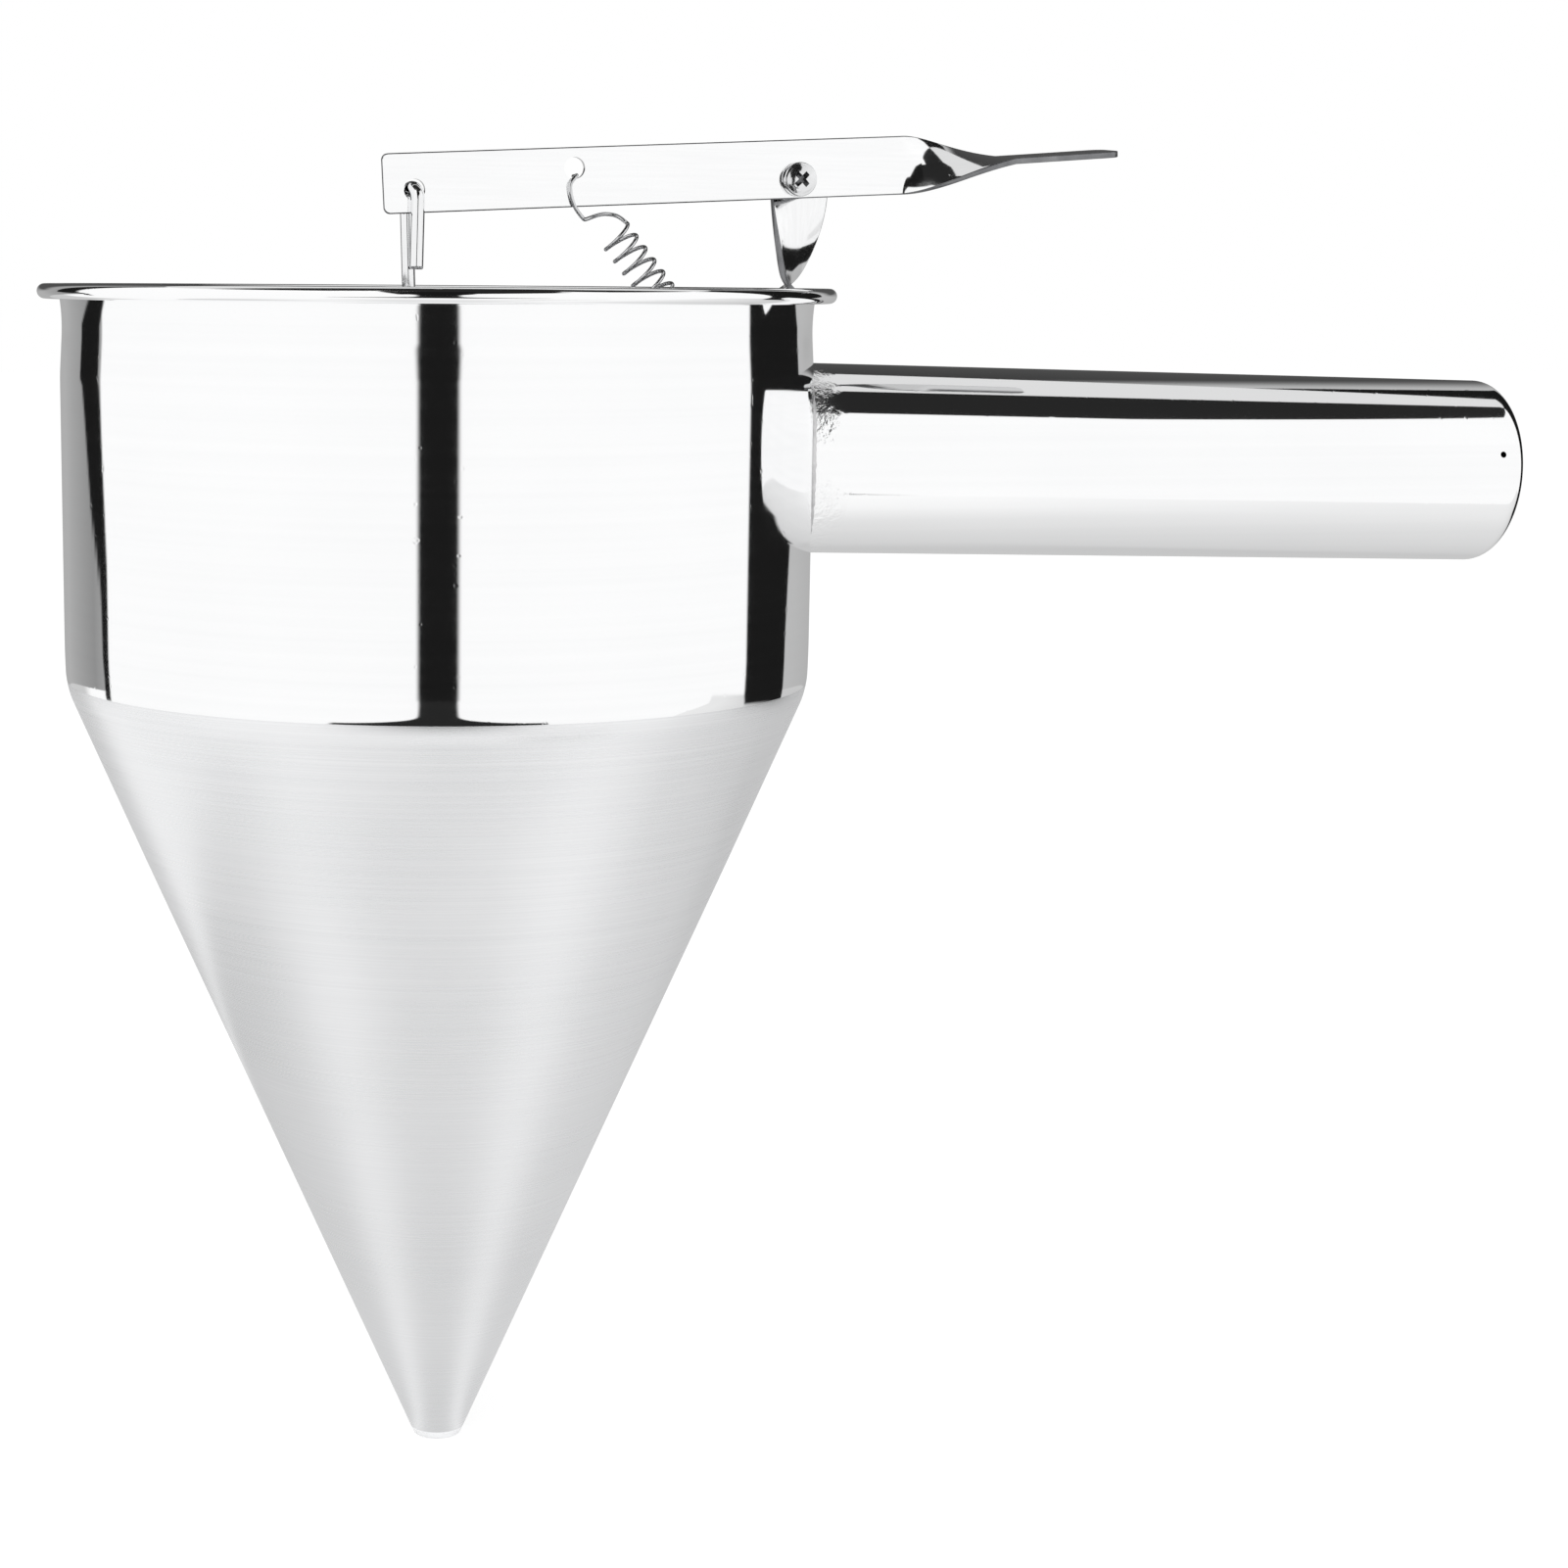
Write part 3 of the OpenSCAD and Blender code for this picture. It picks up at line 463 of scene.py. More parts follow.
bracket_half = np.concatenate([
    STRIP_W / 2 * np.cos(ear), 0 * down + STRIP_W / 2, 0 * twist + STRIP_W / 2,
    0 * foot_down + STRIP_W / 2, 0 * round_down + STRIP_W / 2,
    rounded_end((1 - lug_in[1:]) * (lug_end - LUG_TIP_X), STRIP_W / 2, LUG_CORNER)])
upright_strip = steel("strip stainless, grain upright", (0.88, 0.883, 0.888), (0.96, 0.962, 0.965),
                      0.06, 0.13, (30, 30, 1), 60.0, 3e-7, 1e-5, 1e-6)
bracket_rings = strip_points(bracket_middle, bracket_wide, bracket_thick, bracket_half,
                             BRACKET_T / 2, BRACKET_EDGE_R)
bracket_mesh = sheared(strip_mesh("bracket", bracket_rings), upright_strip)
lug_drill = drill(*(np.array([LUG_HOLE_X, -LEVER_MID_Y, LUG_Z + out]) for out in (-2, 2)),
                  LUG_HOLE_R)
make_piece("bracket", cut_away(bracket_mesh, lug_drill), upright_strip, "root",
           "bracket", sharp=35)

# Spot welds. Two small nuggets between the bracket's foot and the cup's wall, hidden between
# them, so the plain forms of the frame stay and only get their finish.


def finish_node(name, material):
    """Gives a piece of the frame that stays as it is a material in each of its slots."""
    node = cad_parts[name]
    for place in node.material_slots:
        place.material = material


finish_node("bracket_welds", weld_finish)

# Pivot. A pan-head machine screw with a cross recess goes through the lever, a thin spacer and
# the bracket's ear into a hexagon nut. All are bright stainless; spacer and nut stay as in the
# frame, because hardly anything of them shows.
SCREW_R, HEAD_R, HEAD_H, DOME_R = 1.5, 2.8, 2.2, 5.0
SIDE_PLAY, NUT_H, SCREW_TAIL = 0.1, 2.4, 1.0
HEAD_ROUND, HEAD_CHAMFER, TAIL_CHAMFER = 0.25, 0.12, 0.3
SCREW_SIDES = 96
HEAD_Y = LEVER_Y + LEVER_T + SIDE_PLAY
SHANK = HEAD_Y + BRACKET_T / 2 + NUT_H + SCREW_TAIL
screw_finish = steel("bright screw", (0.62, 0.625, 0.63), (0.84, 0.843, 0.85), 0.07, 0.16,
                     EVEN, 300.0, 2e-7, 1e-6, 2e-6)
# The cross recess's walls get a near-black steel: painted shade, standing in for the shade deep
# inside the recess
recess_painted_shade = steel("screw recess, painted shade", (0.10, 0.10, 0.105), (0.22, 0.223, 0.23), 0.3, 0.5,
                      EVEN, 300.0, 2e-7, 1e-6, 2e-6)
dome = np.linspace(0, HEAD_R - HEAD_ROUND, 12)
dome_z = HEAD_H - DOME_R + np.sqrt(DOME_R ** 2 - dome ** 2)
screw_outline = np.concatenate([
    np.stack([dome, dome_z], 1),
    arc((HEAD_R - HEAD_ROUND, dome_z[-1] - HEAD_ROUND), HEAD_ROUND, 75, 0, 6),
    [[HEAD_R, HEAD_CHAMFER], [HEAD_R - HEAD_CHAMFER, 0], [SCREW_R, 0],
     [SCREW_R, TAIL_CHAMFER - SHANK], [SCREW_R - TAIL_CHAMFER, -SHANK], [0, -SHANK]]])
screw_points = lathe_points(screw_outline, SCREW_SIDES)[:, [0, 2, 1]] * [1, -1, 1] \
    + PIVOT - [0, HEAD_Y, 0]


# Half length, half width and distance from the head's underside of the recess's two ends
RECESS_FOOT, RECESS_MOUTH = (0.75, 0.30, HEAD_H - 1.2), (1.75, 0.47, HEAD_H + 0.3)


def cross_wing(turn_degrees):
    """Closed wedge of a cross recess, wider at the head's face: corners at half lengths and half
    widths that shrink with depth, turned in the head's plane."""
    c, s = np.cos(np.radians(turn_degrees)), np.sin(np.radians(turn_degrees))
    corners = []
    for half_len, half_wide, out in (RECESS_FOOT, RECESS_MOUTH):
        for a, b in ((-1, -1), (1, -1), (1, 1), (-1, 1)):
            x, z = a * half_len, b * half_wide
            corners.append(PIVOT + [x * c - z * s, -HEAD_Y - out, x * s + z * c])
    faces = [[0, 1, 2, 3], [4, 5, 6, 7], [0, 1, 5, 4], [1, 2, 6, 5], [2, 3, 7, 6], [3, 0, 4, 7]]
    wing = closed_mesh("cutter", corners, faces)
    # The wedge's faces carry the painted shade onto the recess's walls
    wing.materials.append(recess_painted_shade)
    return wing


screw_mesh = closed_mesh("screw", screw_points,
                         grid_faces(SCREW_SIDES, len(screw_outline), True, False))
screw_mesh.materials.append(screw_finish)
make_piece("screw", cut_away(screw_mesh, cross_wing(45), cross_wing(135)), screw_finish, "root",
           "pivot_screw", sharp=30)
finish_node("pivot_spacer", screw_finish)
finish_node("pivot_nut", screw_finish)

# Lever. A strip of 1 mm stainless sheet, 9.6 mm wide, with drilled holes for rod and spring; the
# screw's hole, which the screw fills, is not cut. Past the pivot it is twisted by almost a quarter
# turn, so that its end lies flat as a tab for the thumb.
TILT = np.radians(2.8)
PIVOT_LOW = 1.7
ARM_LEN = 69.8
TWIST_X, TWIST_LEN = 17.4, 19.6
TAB_TURN, TAB_LIFT = np.radians(86), np.radians(1.5)
TAB_LEN, TAB_CORNER, ARM_CORNER = 19.0, 2.4, 1.0
ROD_HOLE, SPRING_HOLE, HOOK_HOLE_R = (-64.75, -1.1), (-38.1, 1.45), 1.75
LEVER_EDGE_R = 0.2


def on_lever(points):
    """Points given along the lever, across it and to its front, set at the pivot and tilted."""
    along, up, front = points[..., 0], points[..., 1] + PIVOT_LOW, points[..., 2] + LEVER_Y
    return np.stack([PIVOT[0] + along * np.cos(TILT) - up * np.sin(TILT), -front,
                     PIVOT[2] + along * np.sin(TILT) + up * np.cos(TILT)], -1)


inset = np.array([0.02, 0.1, 0.22, 0.4, 0.65, 1.0])
arm = np.concatenate([-ARM_LEN + inset, np.linspace(-ARM_LEN + 2, TWIST_X, 60)[:-1]])
# The twist starts softly over its first part, and is fast at first and slow at its end
SOFT_START, FAST_RATE, RATE_LOSS = 0.08, 1.6, 1.2
bend_share = np.linspace(0, 1, 97)
bend_rate = np.minimum(bend_share / SOFT_START, 1) * (FAST_RATE - RATE_LOSS * bend_share)
bend_turn = np.concatenate([[0], np.cumsum(bend_rate[1:] + bend_rate[:-1])])
bend_turn *= TAB_TURN / bend_turn[-1]
tab = np.concatenate([np.linspace(0, TAB_LEN - TAB_CORNER, 10)[1:],
                      TAB_LEN - TAB_CORNER * (1 - np.sin(np.radians(np.linspace(8, 88, 12))))])
rise = TWIST_LEN * np.tan(TAB_LIFT) / 2
lever_turn = np.concatenate([0 * arm, bend_turn, TAB_TURN + 0 * tab])
tab_way = np.array([np.cos(TAB_LIFT), np.sin(TAB_LIFT) * np.sin(TAB_TURN),
                    np.sin(TAB_LIFT) * np.cos(TAB_TURN)])
flat_mid = np.stack([arm, 0 * arm, 0 * arm + LEVER_T / 2], 1)
twist_mid = np.stack([TWIST_X + TWIST_LEN * bend_share, rise * bend_share ** 2,
                      0 * bend_share + LEVER_T / 2], 1)
lever_middle = np.concatenate([flat_mid, twist_mid, twist_mid[-1] + tab[:, None] * tab_way])
lever_wide = np.stack([0 * lever_turn, np.cos(lever_turn), -np.sin(lever_turn)], 1)
lever_thick = np.stack([0 * lever_turn, np.sin(lever_turn), np.cos(lever_turn)], 1)
lever_thick[-len(tab):] = np.cross(tab_way, lever_wide[-1])
lever_half = np.concatenate([rounded_end(arm + ARM_LEN, STRIP_W / 2, ARM_CORNER),
                             0 * bend_share + STRIP_W / 2,
                             rounded_end(TAB_LEN - tab, STRIP_W / 2, TAB_CORNER)])
lever_rings = strip_points(lever_middle, lever_wide, lever_thick, lever_half, LEVER_T / 2,
                           LEVER_EDGE_R)
hole_drills = [drill(*on_lever(np.array([[*hole, -1.0], [*hole, LEVER_T + 1]])), HOOK_HOLE_R)
               for hole in (ROD_HOLE, SPRING_HOLE)]
level_strip = steel("strip stainless, grain level", (0.93, 0.933, 0.938), (0.98, 0.982, 0.985),
                    0.05, 0.11, (1, 30, 30), 60.0, 1e-7, 1e-5, 3e-7)
lever_mesh = sheared(strip_mesh("lever", on_lever(lever_rings)), level_strip)
make_piece("lever", cut_away(lever_mesh, *hole_drills), level_strip, "lever",
           "lever", sharp=35)

# Plunger. A bright drawn rod, 2.2 mm thick, hangs by its bent end in the lever's hole, with a
# free leg in front of the lever. The turned plug on its foot closes the nozzle from inside, and
# stays as in the frame.
ROD_R = 1.1
HOOK_TURN, HOOK_SPLAY, HOOK_LEG = np.radians(18), np.radians(3.4), 11.0
HOOK_OUT, HOOK_UP = 0.25, 0.3
HOOK = on_lever(np.array([ROD_HOLE[0] - HOOK_OUT, HOOK_UP + ROD_HOLE[1], LEVER_T / 2]))
ROD_GRIP, PLUG_R = 6.0, 5.0
PLUG_UP, PLUG_BAND, PLUG_TOP, SEAT_GAP = 0.3, 3.0, 2.0, 0.1


# Share of a wire's radius that its ends keep, where their edges are broken
END_SHARE = 0.85


def wire_mesh(name, path, radius, sides):
    """A round wire along a path: each ring is path + radius * (cos t * n + sin t * b), where n is
    the last ring's n made square to the way ahead, and the end rings are a little smaller."""
    ways = np.gradient(path, axis=0)
    ways /= np.linalg.norm(ways, axis=1)[:, None]
    normals = np.empty_like(path)
    carried = np.cross(ways[0], [0.3, 0.9, 0.1])
    for i, way in enumerate(ways):
        carried = carried - way * (carried @ way)
        carried /= np.linalg.norm(carried)
        normals[i] = carried
    sideways = np.cross(ways, normals)
    size = np.full(len(path), radius)
    size[[0, -1]] *= END_SHARE
    t = np.linspace(0, 2 * np.pi, sides, endpoint=False)[None, :, None]
    rings = path[:, None] + size[:, None, None] * (np.cos(t) * normals[:, None]
                                                   + np.sin(t) * sideways[:, None])
    return strip_mesh(name, rings)


plug_seat = (PLUG_R - MOUTH_R + SEAT_GAP / np.cos(CONE_ANGLE)) / np.tan(CONE_ANGLE) - PLUG_UP
rod_foot = np.array([0, 0, TIP_Z + PLUG_UP + plug_seat + PLUG_BAND + PLUG_TOP - ROD_GRIP])
bend_r = LEVER_MID_Y
rod_top = HOOK + bend_r * np.array([-np.sin(HOOK_TURN), np.cos(HOOK_TURN), -1.0])
rod_way = (rod_top - rod_foot) / np.linalg.norm(rod_top - rod_foot)
forward = np.array([np.sin(HOOK_TURN), -np.cos(HOOK_TURN), 0.0])
forward -= rod_way * (forward @ rod_way)
forward /= np.linalg.norm(forward)
aside = np.cross(rod_way, forward)
over = np.radians(np.linspace(0, 180, 25))[1:-1, None]
bend_points = rod_top + bend_r * ((1 - np.cos(over)) * forward + np.sin(over) * rod_way)
leg_top = rod_top + 2 * bend_r * forward
leg_way = -np.cos(HOOK_SPLAY) * rod_way - np.sin(HOOK_SPLAY) * aside
leg_out = np.concatenate([np.linspace(0, HOOK_LEG - 0.5, 8), [HOOK_LEG - 0.2, HOOK_LEG]])[:, None]
rod_up = np.concatenate([[0, 0.25], np.linspace(1, np.linalg.norm(rod_top - rod_foot), 60)])
rod_path = np.concatenate([rod_foot + rod_up[:, None] * rod_way, bend_points,
                           leg_top + leg_out * leg_way])
rod_finish = steel("drawn rod", (0.82, 0.825, 0.83), (0.94, 0.943, 0.95), 0.05, 0.1,
                   (40, 40, 1), 100.0, 3e-7, 1e-6, 1e-6)
make_piece("plunger_rod", wire_mesh("plunger_rod", rod_path, ROD_R, 32), rod_finish, "plunger",
           "plunger_rod", sharp=50)
finish_node("plunger_plug", rod_finish)

# Return spring. Wound from 0.65 mm spring wire with long hooks: the upper one comes through the
# lever's hole and down its front, and the lower one goes under the bracket's lug and up through
# its hole. It pulls the lever down, so that the plug keeps the nozzle shut.
WIRE_R = 0.325
COIL_R = 3.0 - WIRE_R
SPRING_GAP = 0.25
SPRING_TAIL = 1.0
COIL_TURNS = 12.5
COIL_ASIDE = 0.4 * COIL_R
spring_from = on_lever(np.array([*SPRING_HOLE, 0.0])) * [1, 0, 1]
spring_to = np.array([LUG_HOLE_X, 0.0, LUG_Z])
spring_len = np.linalg.norm(spring_to - spring_from)
spring_dir = (spring_to - spring_from) / spring_len
low_side = np.array([spring_dir[2], 0, -spring_dir[0]])


def spring_point(along, low, front):
    """A point by its distance along the spring, aside to its lower left, and to the front."""
    along, low, front = np.broadcast_arrays(*np.atleast_1d(along, low, front))
    return (spring_from + along[:, None] * spring_dir + low[:, None] * low_side
            - front[:, None] * [0, 1, 0])


def smooth_path(keys, steps):
    """A smooth line through key points: between each two it is the cubic that meets both with
    half the step from the point before to the point after as its slope."""
    ends = np.concatenate([[2 * keys[0] - keys[1]], keys, [2 * keys[-1] - keys[-2]]])
    a, b, c, d = ends[:-3, None], ends[1:-2, None], ends[2:-1, None], ends[3:, None]
    s = (np.arange(steps) / steps)[None, :, None]
    line = b + s / 2 * (c - a) + s ** 2 * (a - 2.5 * b + 2 * c - d / 2) \
        + s ** 3 * (1.5 * (b - c) + (d - a) / 2)
    return np.concatenate([line.reshape(-1, 3), keys[-1:]])


leg_y = LEVER_Y + LEVER_T + WIRE_R + SPRING_GAP
# The upper hook's leg down the lever's front, and its lead into the coil: distances along the
# spring, aside and, for the lead, in front of the lever's middle, in coil radii
legs = COIL_R * np.array([[0.58, 0.85], [1.16, 1.24], [1.87, 1.48], [2.63, 1.49], [2.82, 1.38]])
leads = COIL_R * np.array([[3.12, 0.64, -0.2], [3.47, 0, -0.6], [4, -0.49, -0.5]])
coil_start, coil_end = 4.62 * COIL_R, spring_len - 3.3 * COIL_R
wound = np.linspace(0, 1, 151)
wound_turn = np.radians(180 + 360 * COIL_TURNS * wound)
side_x = LUG_TIP_X - WIRE_R - SPRING_GAP
under_z = LUG_Z - BRACKET_T / 2 - WIRE_R - SPRING_GAP
hook_bend = 2 * WIRE_R
lug_hook = np.array([
    [side_x, LUG_Z + BRACKET_T], [side_x, LUG_Z], [side_x, under_z + hook_bend],
    [side_x + hook_bend / 3, under_z + hook_bend / 3], [side_x + hook_bend, under_z],
    [LUG_HOLE_X - hook_bend, under_z], [LUG_HOLE_X - hook_bend / 3, under_z + hook_bend / 3],
    [LUG_HOLE_X, under_z + hook_bend], [LUG_HOLE_X, LUG_Z + BRACKET_T / 2 + SPRING_TAIL / 3],
    [LUG_HOLE_X, LUG_Z + BRACKET_T / 2 + SPRING_TAIL]])
spring_keys = np.concatenate([
    spring_point(0.44 * COIL_R, 0.22 * COIL_R,
                 np.array([LEVER_Y - SPRING_TAIL, LEVER_Y - SPRING_TAIL / 3, LEVER_MID_Y,
                           LEVER_Y + LEVER_T + WIRE_R / 2])),
    spring_point(legs[:, 0], legs[:, 1], leg_y),
    spring_point(leads[:, 0], leads[:, 1], LEVER_MID_Y + leads[:, 2]),
    spring_point(coil_start + (coil_end - coil_start) * wound,
                 COIL_R * np.cos(wound_turn) + COIL_ASIDE,
                 LEVER_MID_Y - COIL_R * np.sin(wound_turn)),
    spring_point(coil_end + COIL_R / 6, COIL_R + COIL_ASIDE, LEVER_MID_Y - COIL_R / 4),
    spring_point(coil_end + COIL_R / 2, COIL_R * 1.3, LEVER_MID_Y - COIL_R / 4),
    np.stack([lug_hook[:, 0], 0 * lug_hook[:, 0] - LEVER_MID_Y, lug_hook[:, 1]], 1)])
spring_finish = steel("spring wire", (0.48, 0.483, 0.49), (0.74, 0.743, 0.75), 0.03, 0.07,
                      EVEN, 500.0, 1e-6, 1e-6, 1e-6)
make_piece("return_spring", wire_mesh("return_spring", smooth_path(spring_keys, 3), WIRE_R, 16),
           spring_finish, "root", "return_spring", sharp=50)

# Floor and light. A plain white floor under the nozzle and a white room. Round it all stands a
# light tent with dark flags, which only reflections see, as a studio sets it up to give polished
# steel its dark lines.
FLOOR_Z = TIP_Z / 1000 - 0.0002
FLOOR_HALF = 6
# Glow of the floor and the room, as the light they give and as what is seen of them
FLOOR_GLOW, ROOM_GLOW = (0.35, 0.62), (0.8, 1.0)
LAMP_AIM = np.array([0.03, 0, 0])


def plain_sheet(name, corners, material):
    """A flat sheet through four corners in metres."""
    mesh = bpy.data.meshes.new(name)
    mesh.from_pydata(corners, [], [[0, 1, 2, 3]])
    mesh.materials.append(material)
    card = bpy.data.objects.new(name, mesh)
    bpy.context.collection.objects.link(card)


def seen_rays(tree):
    """1 for rays from the camera, from reflections and through clear things, 0 for the rest."""
    path = tree.nodes.new("ShaderNodeLightPath")
    first = tree.nodes.new("ShaderNodeMath")
    second = tree.nodes.new("ShaderNodeMath")
    first.operation = second.operation = "MAXIMUM"
    tree.links.new(path.outputs["Is Camera Ray"], first.inputs[0])
    tree.links.new(path.outputs["Is Glossy Ray"], first.inputs[1])
    tree.links.new(first.outputs["Value"], second.inputs[0])
    tree.links.new(path.outputs["Is Transmission Ray"], second.inputs[1])
    return second.outputs["Value"]


floor_paint = bpy.data.materials.new("white floor")
floor_paint.use_nodes = True
tree = floor_paint.node_tree
tree.nodes.remove(tree.nodes["Principled BSDF"])
matt = tree.nodes.new("ShaderNodeBsdfDiffuse")
matt.inputs["Color"].default_value = (0.5, 0.5, 0.5, 1)
glow = tree.nodes.new("ShaderNodeEmission")
both = tree.nodes.new("ShaderNodeAddShader")
tree.links.new(ranged(tree, seen_rays(tree), *FLOOR_GLOW, 0.0, 1.0), glow.inputs["Strength"])
tree.links.new(matt.outputs["BSDF"], both.inputs[0])
tree.links.new(glow.outputs["Emission"], both.inputs[1])
tree.links.new(both.outputs["Shader"], tree.nodes["Material Output"].inputs["Surface"])
plain_sheet("floor", [(FLOOR_HALF * a, FLOOR_HALF * b, FLOOR_Z)
                      for a, b in ((-1, -1), (1, -1), (1, 1), (-1, 1))], floor_paint)

room = bpy.data.worlds.new("white room")
bpy.context.scene.world = room
room.use_nodes = True
tree = room.node_tree
tree.nodes["Background"].inputs["Color"].default_value = (1, 1, 1, 1)
tree.links.new(ranged(tree, seen_rays(tree), *ROOM_GLOW, 0.0, 1.0),
               tree.nodes["Background"].inputs["Strength"])

for name, spot, size, watts in (("key", (-0.9, -0.9, 1.3), 1.0, 9.0),
                                ("fill", (1.2, -0.7, 0.9), 1.0, 5.0)):
    lamp = bpy.data.lights.new(name, "AREA")
    lamp.size, lamp.energy = size, watts
    lamp.shape = "DISK"
    holder = bpy.data.objects.new(name, lamp)
    bpy.context.collection.objects.link(holder)
    holder.location = spot
    away = np.array(spot) - LAMP_AIM
    holder.rotation_euler = (np.arccos(away[2] / np.linalg.norm(away)), 0,
                             np.arctan2(away[1], away[0]) + np.pi / 2)


def inside(value, start, end, soft):
    """1 from start to end, falling to 0 in a smooth step within soft on each side."""
    step = np.clip(np.minimum(value - start, end - value) / soft + 1, 0, 1)
    return step * step * (3 - 2 * step)


def blended(shade, part, share):
    """A shade laid over another by a share."""
    return shade * (1 - share) + part * share


# The tent is a round wall with a flat roof and a floor, as a grid of height lines and angles.
# Lengths are in metres, and angles run from its front to its right, in degrees.
TENT_R, TENT_H, CENTRE_R = 0.8, 0.9, 0.01
FRONT = np.radians(-102.2)
FLOOR_LINES, WALL_LINES, ROOF_LINES = 260, 120, 120
line = np.concatenate([
    np.stack([np.linspace(0.0005, TENT_R, FLOOR_LINES),
              np.full(FLOOR_LINES, FLOOR_Z + 0.0015)], 1),
    np.stack([np.full(WALL_LINES, TENT_R), np.linspace(FLOOR_Z + 0.004, TENT_H, WALL_LINES)], 1),
    np.stack([np.linspace(TENT_R, CENTRE_R, ROOF_LINES)[1:], np.full(ROOF_LINES - 1, TENT_H)], 1)])
angle = np.linspace(-np.pi, np.pi, 720, endpoint=False)
r, z = line[:, :1], line[:, 1:]
x, y = r * np.cos(FRONT + angle), r * np.sin(FRONT + angle)
z = z + 0 * x
degrees = np.degrees(angle)[None] + 0 * x
to_front, to_right = r * np.cos(angle), r * np.sin(angle)
on_floor, on_roof = z < FLOOR_Z + 0.003, z > TENT_H - 0.001
FLAG, OPEN = 0.01, np.inf

# The tent's wall is white round the front and sides and grey behind, where it darkens with
# height. Each table gives values at some angles or heights, with straight lines between them.
GREY_FROM_LEFT, GREY_FROM_RIGHT = -116.5, 126
GREY_RIGHT = [129, 150, 180], [0.5, 0.46, 0.42]
GREY_LEFT = [117, 124, 134, 150, 180], [0.36, 0.28, 0.34, 0.43, 0.42]
GREY_BY_HEIGHT = [0.04, 0.08, 0.12, 0.9], [0.4, 0.3, 0.08, 0.05]
grey = np.where(degrees > 0, np.interp(degrees, *GREY_RIGHT), np.interp(-degrees, *GREY_LEFT))
grey = blended(grey, np.interp(z, *GREY_BY_HEIGHT),
               inside(z, 0.06, OPEN, 0.03) * inside(np.abs(degrees), 150, OPEN, 12))
wall_shade = blended(np.ones_like(x), grey,
                     1 - inside(degrees, GREY_FROM_LEFT, GREY_FROM_RIGHT, 1))

# Two tall flags stand a little behind the sides, each wider towards its top
RIGHT_FLAG_FROM, RIGHT_FLAG_TO = 103.8, ([-0.09, 0.03], [128, 136.5])
LEFT_FLAG_FROM = [-0.12, -0.07, -0.04, 0.03], [-117.5, -118.5, -124.5, -132]
LEFT_FLAG_TO = [-0.06, 0.03], [-115, -119]
side_flags = np.maximum(
    inside(degrees, RIGHT_FLAG_FROM, np.interp(z, *RIGHT_FLAG_TO), 0.5),
    inside(degrees, np.interp(z, *LEFT_FLAG_FROM), np.interp(z, *LEFT_FLAG_TO), 0.7))
wall_shade = blended(wall_shade, FLAG, side_flags)

# A narrow flag stands in front, and a wide one beside it hangs down to a slanting line
FRONT_HALF = [0.1, 0.25], [5, 9]
HIGH_FLAG_FROM = [-12, 0, 12, 34, 46], [0.15, 0.27, 0.38, 0.6, 0.9]
HIGH_FLAG_LEFT, HIGH_FLAG_RIGHT = ([0.2, 0.85], [-10, -19]), 44
front_half = np.interp(z, *FRONT_HALF)
wall_shade = blended(wall_shade, FLAG, inside(degrees, -front_half, front_half, 1.5))
wall_shade = blended(
    wall_shade, FLAG,
    inside(degrees, np.interp(z, *HIGH_FLAG_LEFT), HIGH_FLAG_RIGHT, 1.5)
    * inside(z, np.interp(degrees, *HIGH_FLAG_FROM), OPEN, 0.02))

# The tent's floor is a light grey table near the object, with a round edge on the left and on
# the right a straight one with a dark line. It is grey behind, and the flags' feet lie on it.
TABLE_R, TABLE_Y, TABLE_SPLIT_X = 0.1676, -0.195, 0.05
near = np.where(x > TABLE_SPLIT_X, inside(y, TABLE_Y, OPEN, 0.0005),
                inside(r, -OPEN, TABLE_R, 0.01))
sides = np.exp(-((np.abs(degrees) - 50) / 22) ** 2)
table_shade = 0.82 + 0.17 * sides - 0.2 * np.clip((y + 0.12) / 0.25, 0, 1)
floor_shade = blended(np.ones_like(x), table_shade, near)
floor_shade = blended(floor_shade, 0.1, inside(y, -0.202, -0.196, 0.001)
                      * inside(x, TABLE_SPLIT_X, 0.14, 0.03))
for patch, patch_from, patch_to in ((0.58, 132, 179), (0.6, -179, -136)):
    floor_shade = blended(floor_shade, patch, inside(degrees, patch_from, patch_to, 8)
                          * inside(r, 0.25, OPEN, 0.1))
floor_shade = blended(floor_shade, FLAG, side_flags * inside(r, 0.55, OPEN, 0.1))
foot_half = 0.0875 * to_front + 0.15 * np.exp(-np.clip(to_front - 0.32, 0, 1) / 0.08)
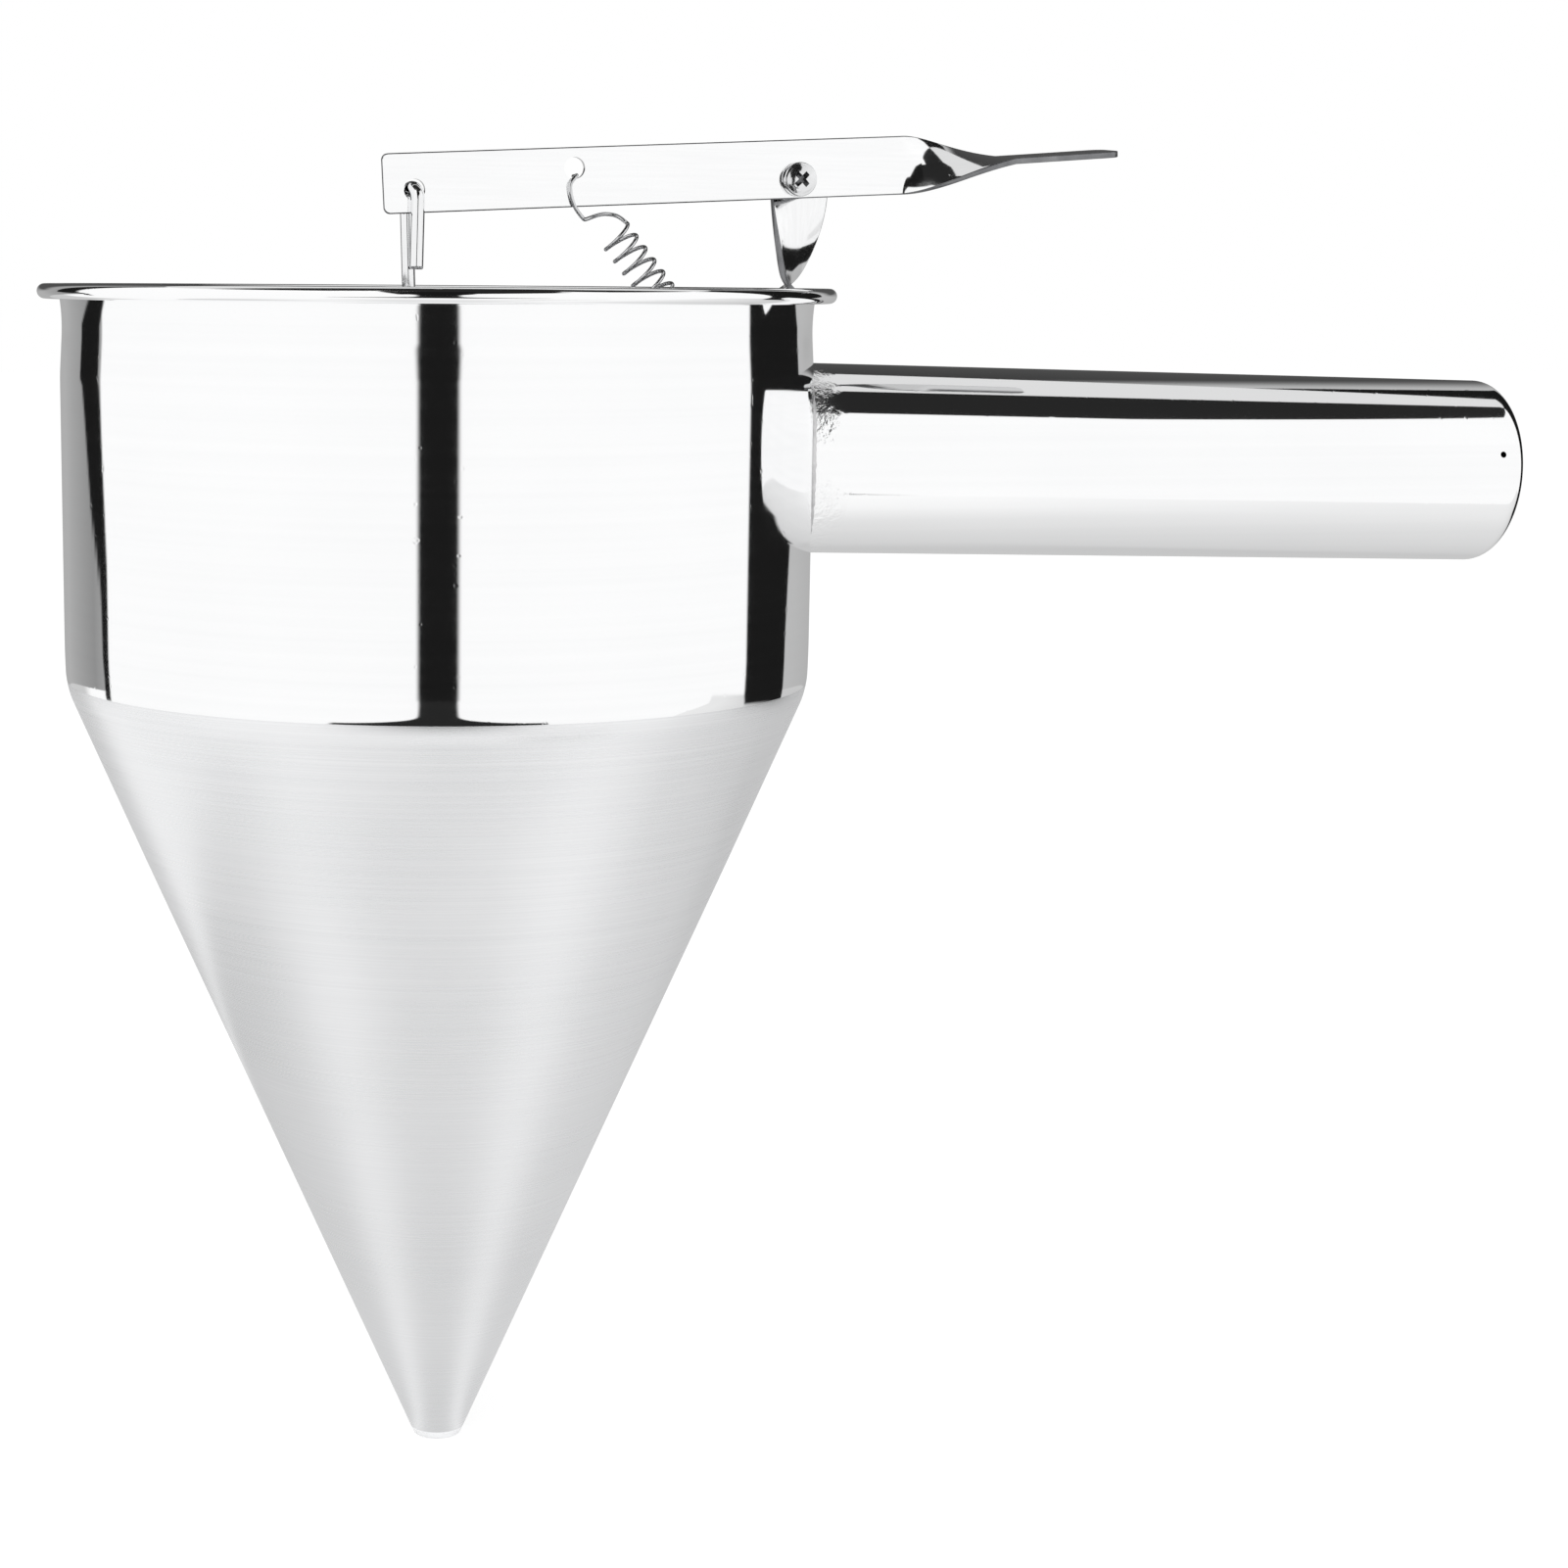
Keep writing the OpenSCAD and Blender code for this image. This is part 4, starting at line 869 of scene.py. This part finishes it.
floor_shade = blended(floor_shade, 0.02, inside(to_front, 0.305, OPEN, 0.01)
                      * inside(to_right, -foot_half, foot_half, 0.012))

# The tent's roof is white in front, has a wide flag across it and is light grey behind
ROOF_FLAG_FROM = [-21, -18, 34, 46], [-0.52, -0.9, -0.9, -0.52]
ROOF_FLAG_TO = [0.2, 0.33], [0.12, 0.02]
roof_from, roof_to = np.interp(degrees, *ROOF_FLAG_FROM), np.interp(x, *ROOF_FLAG_TO)
roof_shade = np.where(y > roof_to, 0.75, 1.0)
roof_shade = blended(roof_shade, 0.02, inside(y, roof_from, roof_to, 0.006))
shade = np.where(on_floor, floor_shade, np.where(on_roof, roof_shade, wall_shade))

tent_mesh = bpy.data.meshes.new("tent")
tent_mesh.from_pydata(np.stack([x, y, z], 2).reshape(-1, 3).tolist(), [],
                      grid_faces(len(line), len(angle), False, True))
shades = tent_mesh.color_attributes.new("shade", "FLOAT_COLOR", "POINT")
shades.data.foreach_set("color", np.repeat(shade.ravel(), 4))
tent_paint = bpy.data.materials.new("tent")
tent_paint.use_nodes = True
tree = tent_paint.node_tree
tree.nodes.remove(tree.nodes["Principled BSDF"])
glow = tree.nodes.new("ShaderNodeEmission")
painted = tree.nodes.new("ShaderNodeAttribute")
painted.attribute_name = "shade"
tree.links.new(painted.outputs["Color"], glow.inputs["Color"])
tree.links.new(glow.outputs["Emission"], tree.nodes["Material Output"].inputs["Surface"])
tent_mesh.materials.append(tent_paint)
tent = bpy.data.objects.new("tent", tent_mesh)
bpy.context.collection.objects.link(tent)
tent.visible_camera = tent.visible_diffuse = tent.visible_shadow = False
tent.visible_transmission = tent.visible_volume_scatter = False

# Camera. It stands in front and a little to the left, just above the rim's height, as in the
# photograph, with a long lens.
camera = bpy.data.objects.new("camera", bpy.data.cameras.new("camera"))
bpy.context.collection.objects.link(camera)
camera.data.sensor_width = 36
camera.data.lens = 71.374
camera.data.shift_x = 0.15
camera.location = (-0.10837, -0.49940, 0.05462)
camera.rotation_euler = np.radians([80.784, -0.41, -14.245])
bpy.context.scene.camera = camera
bpy.context.scene.view_settings.view_transform = "Standard"
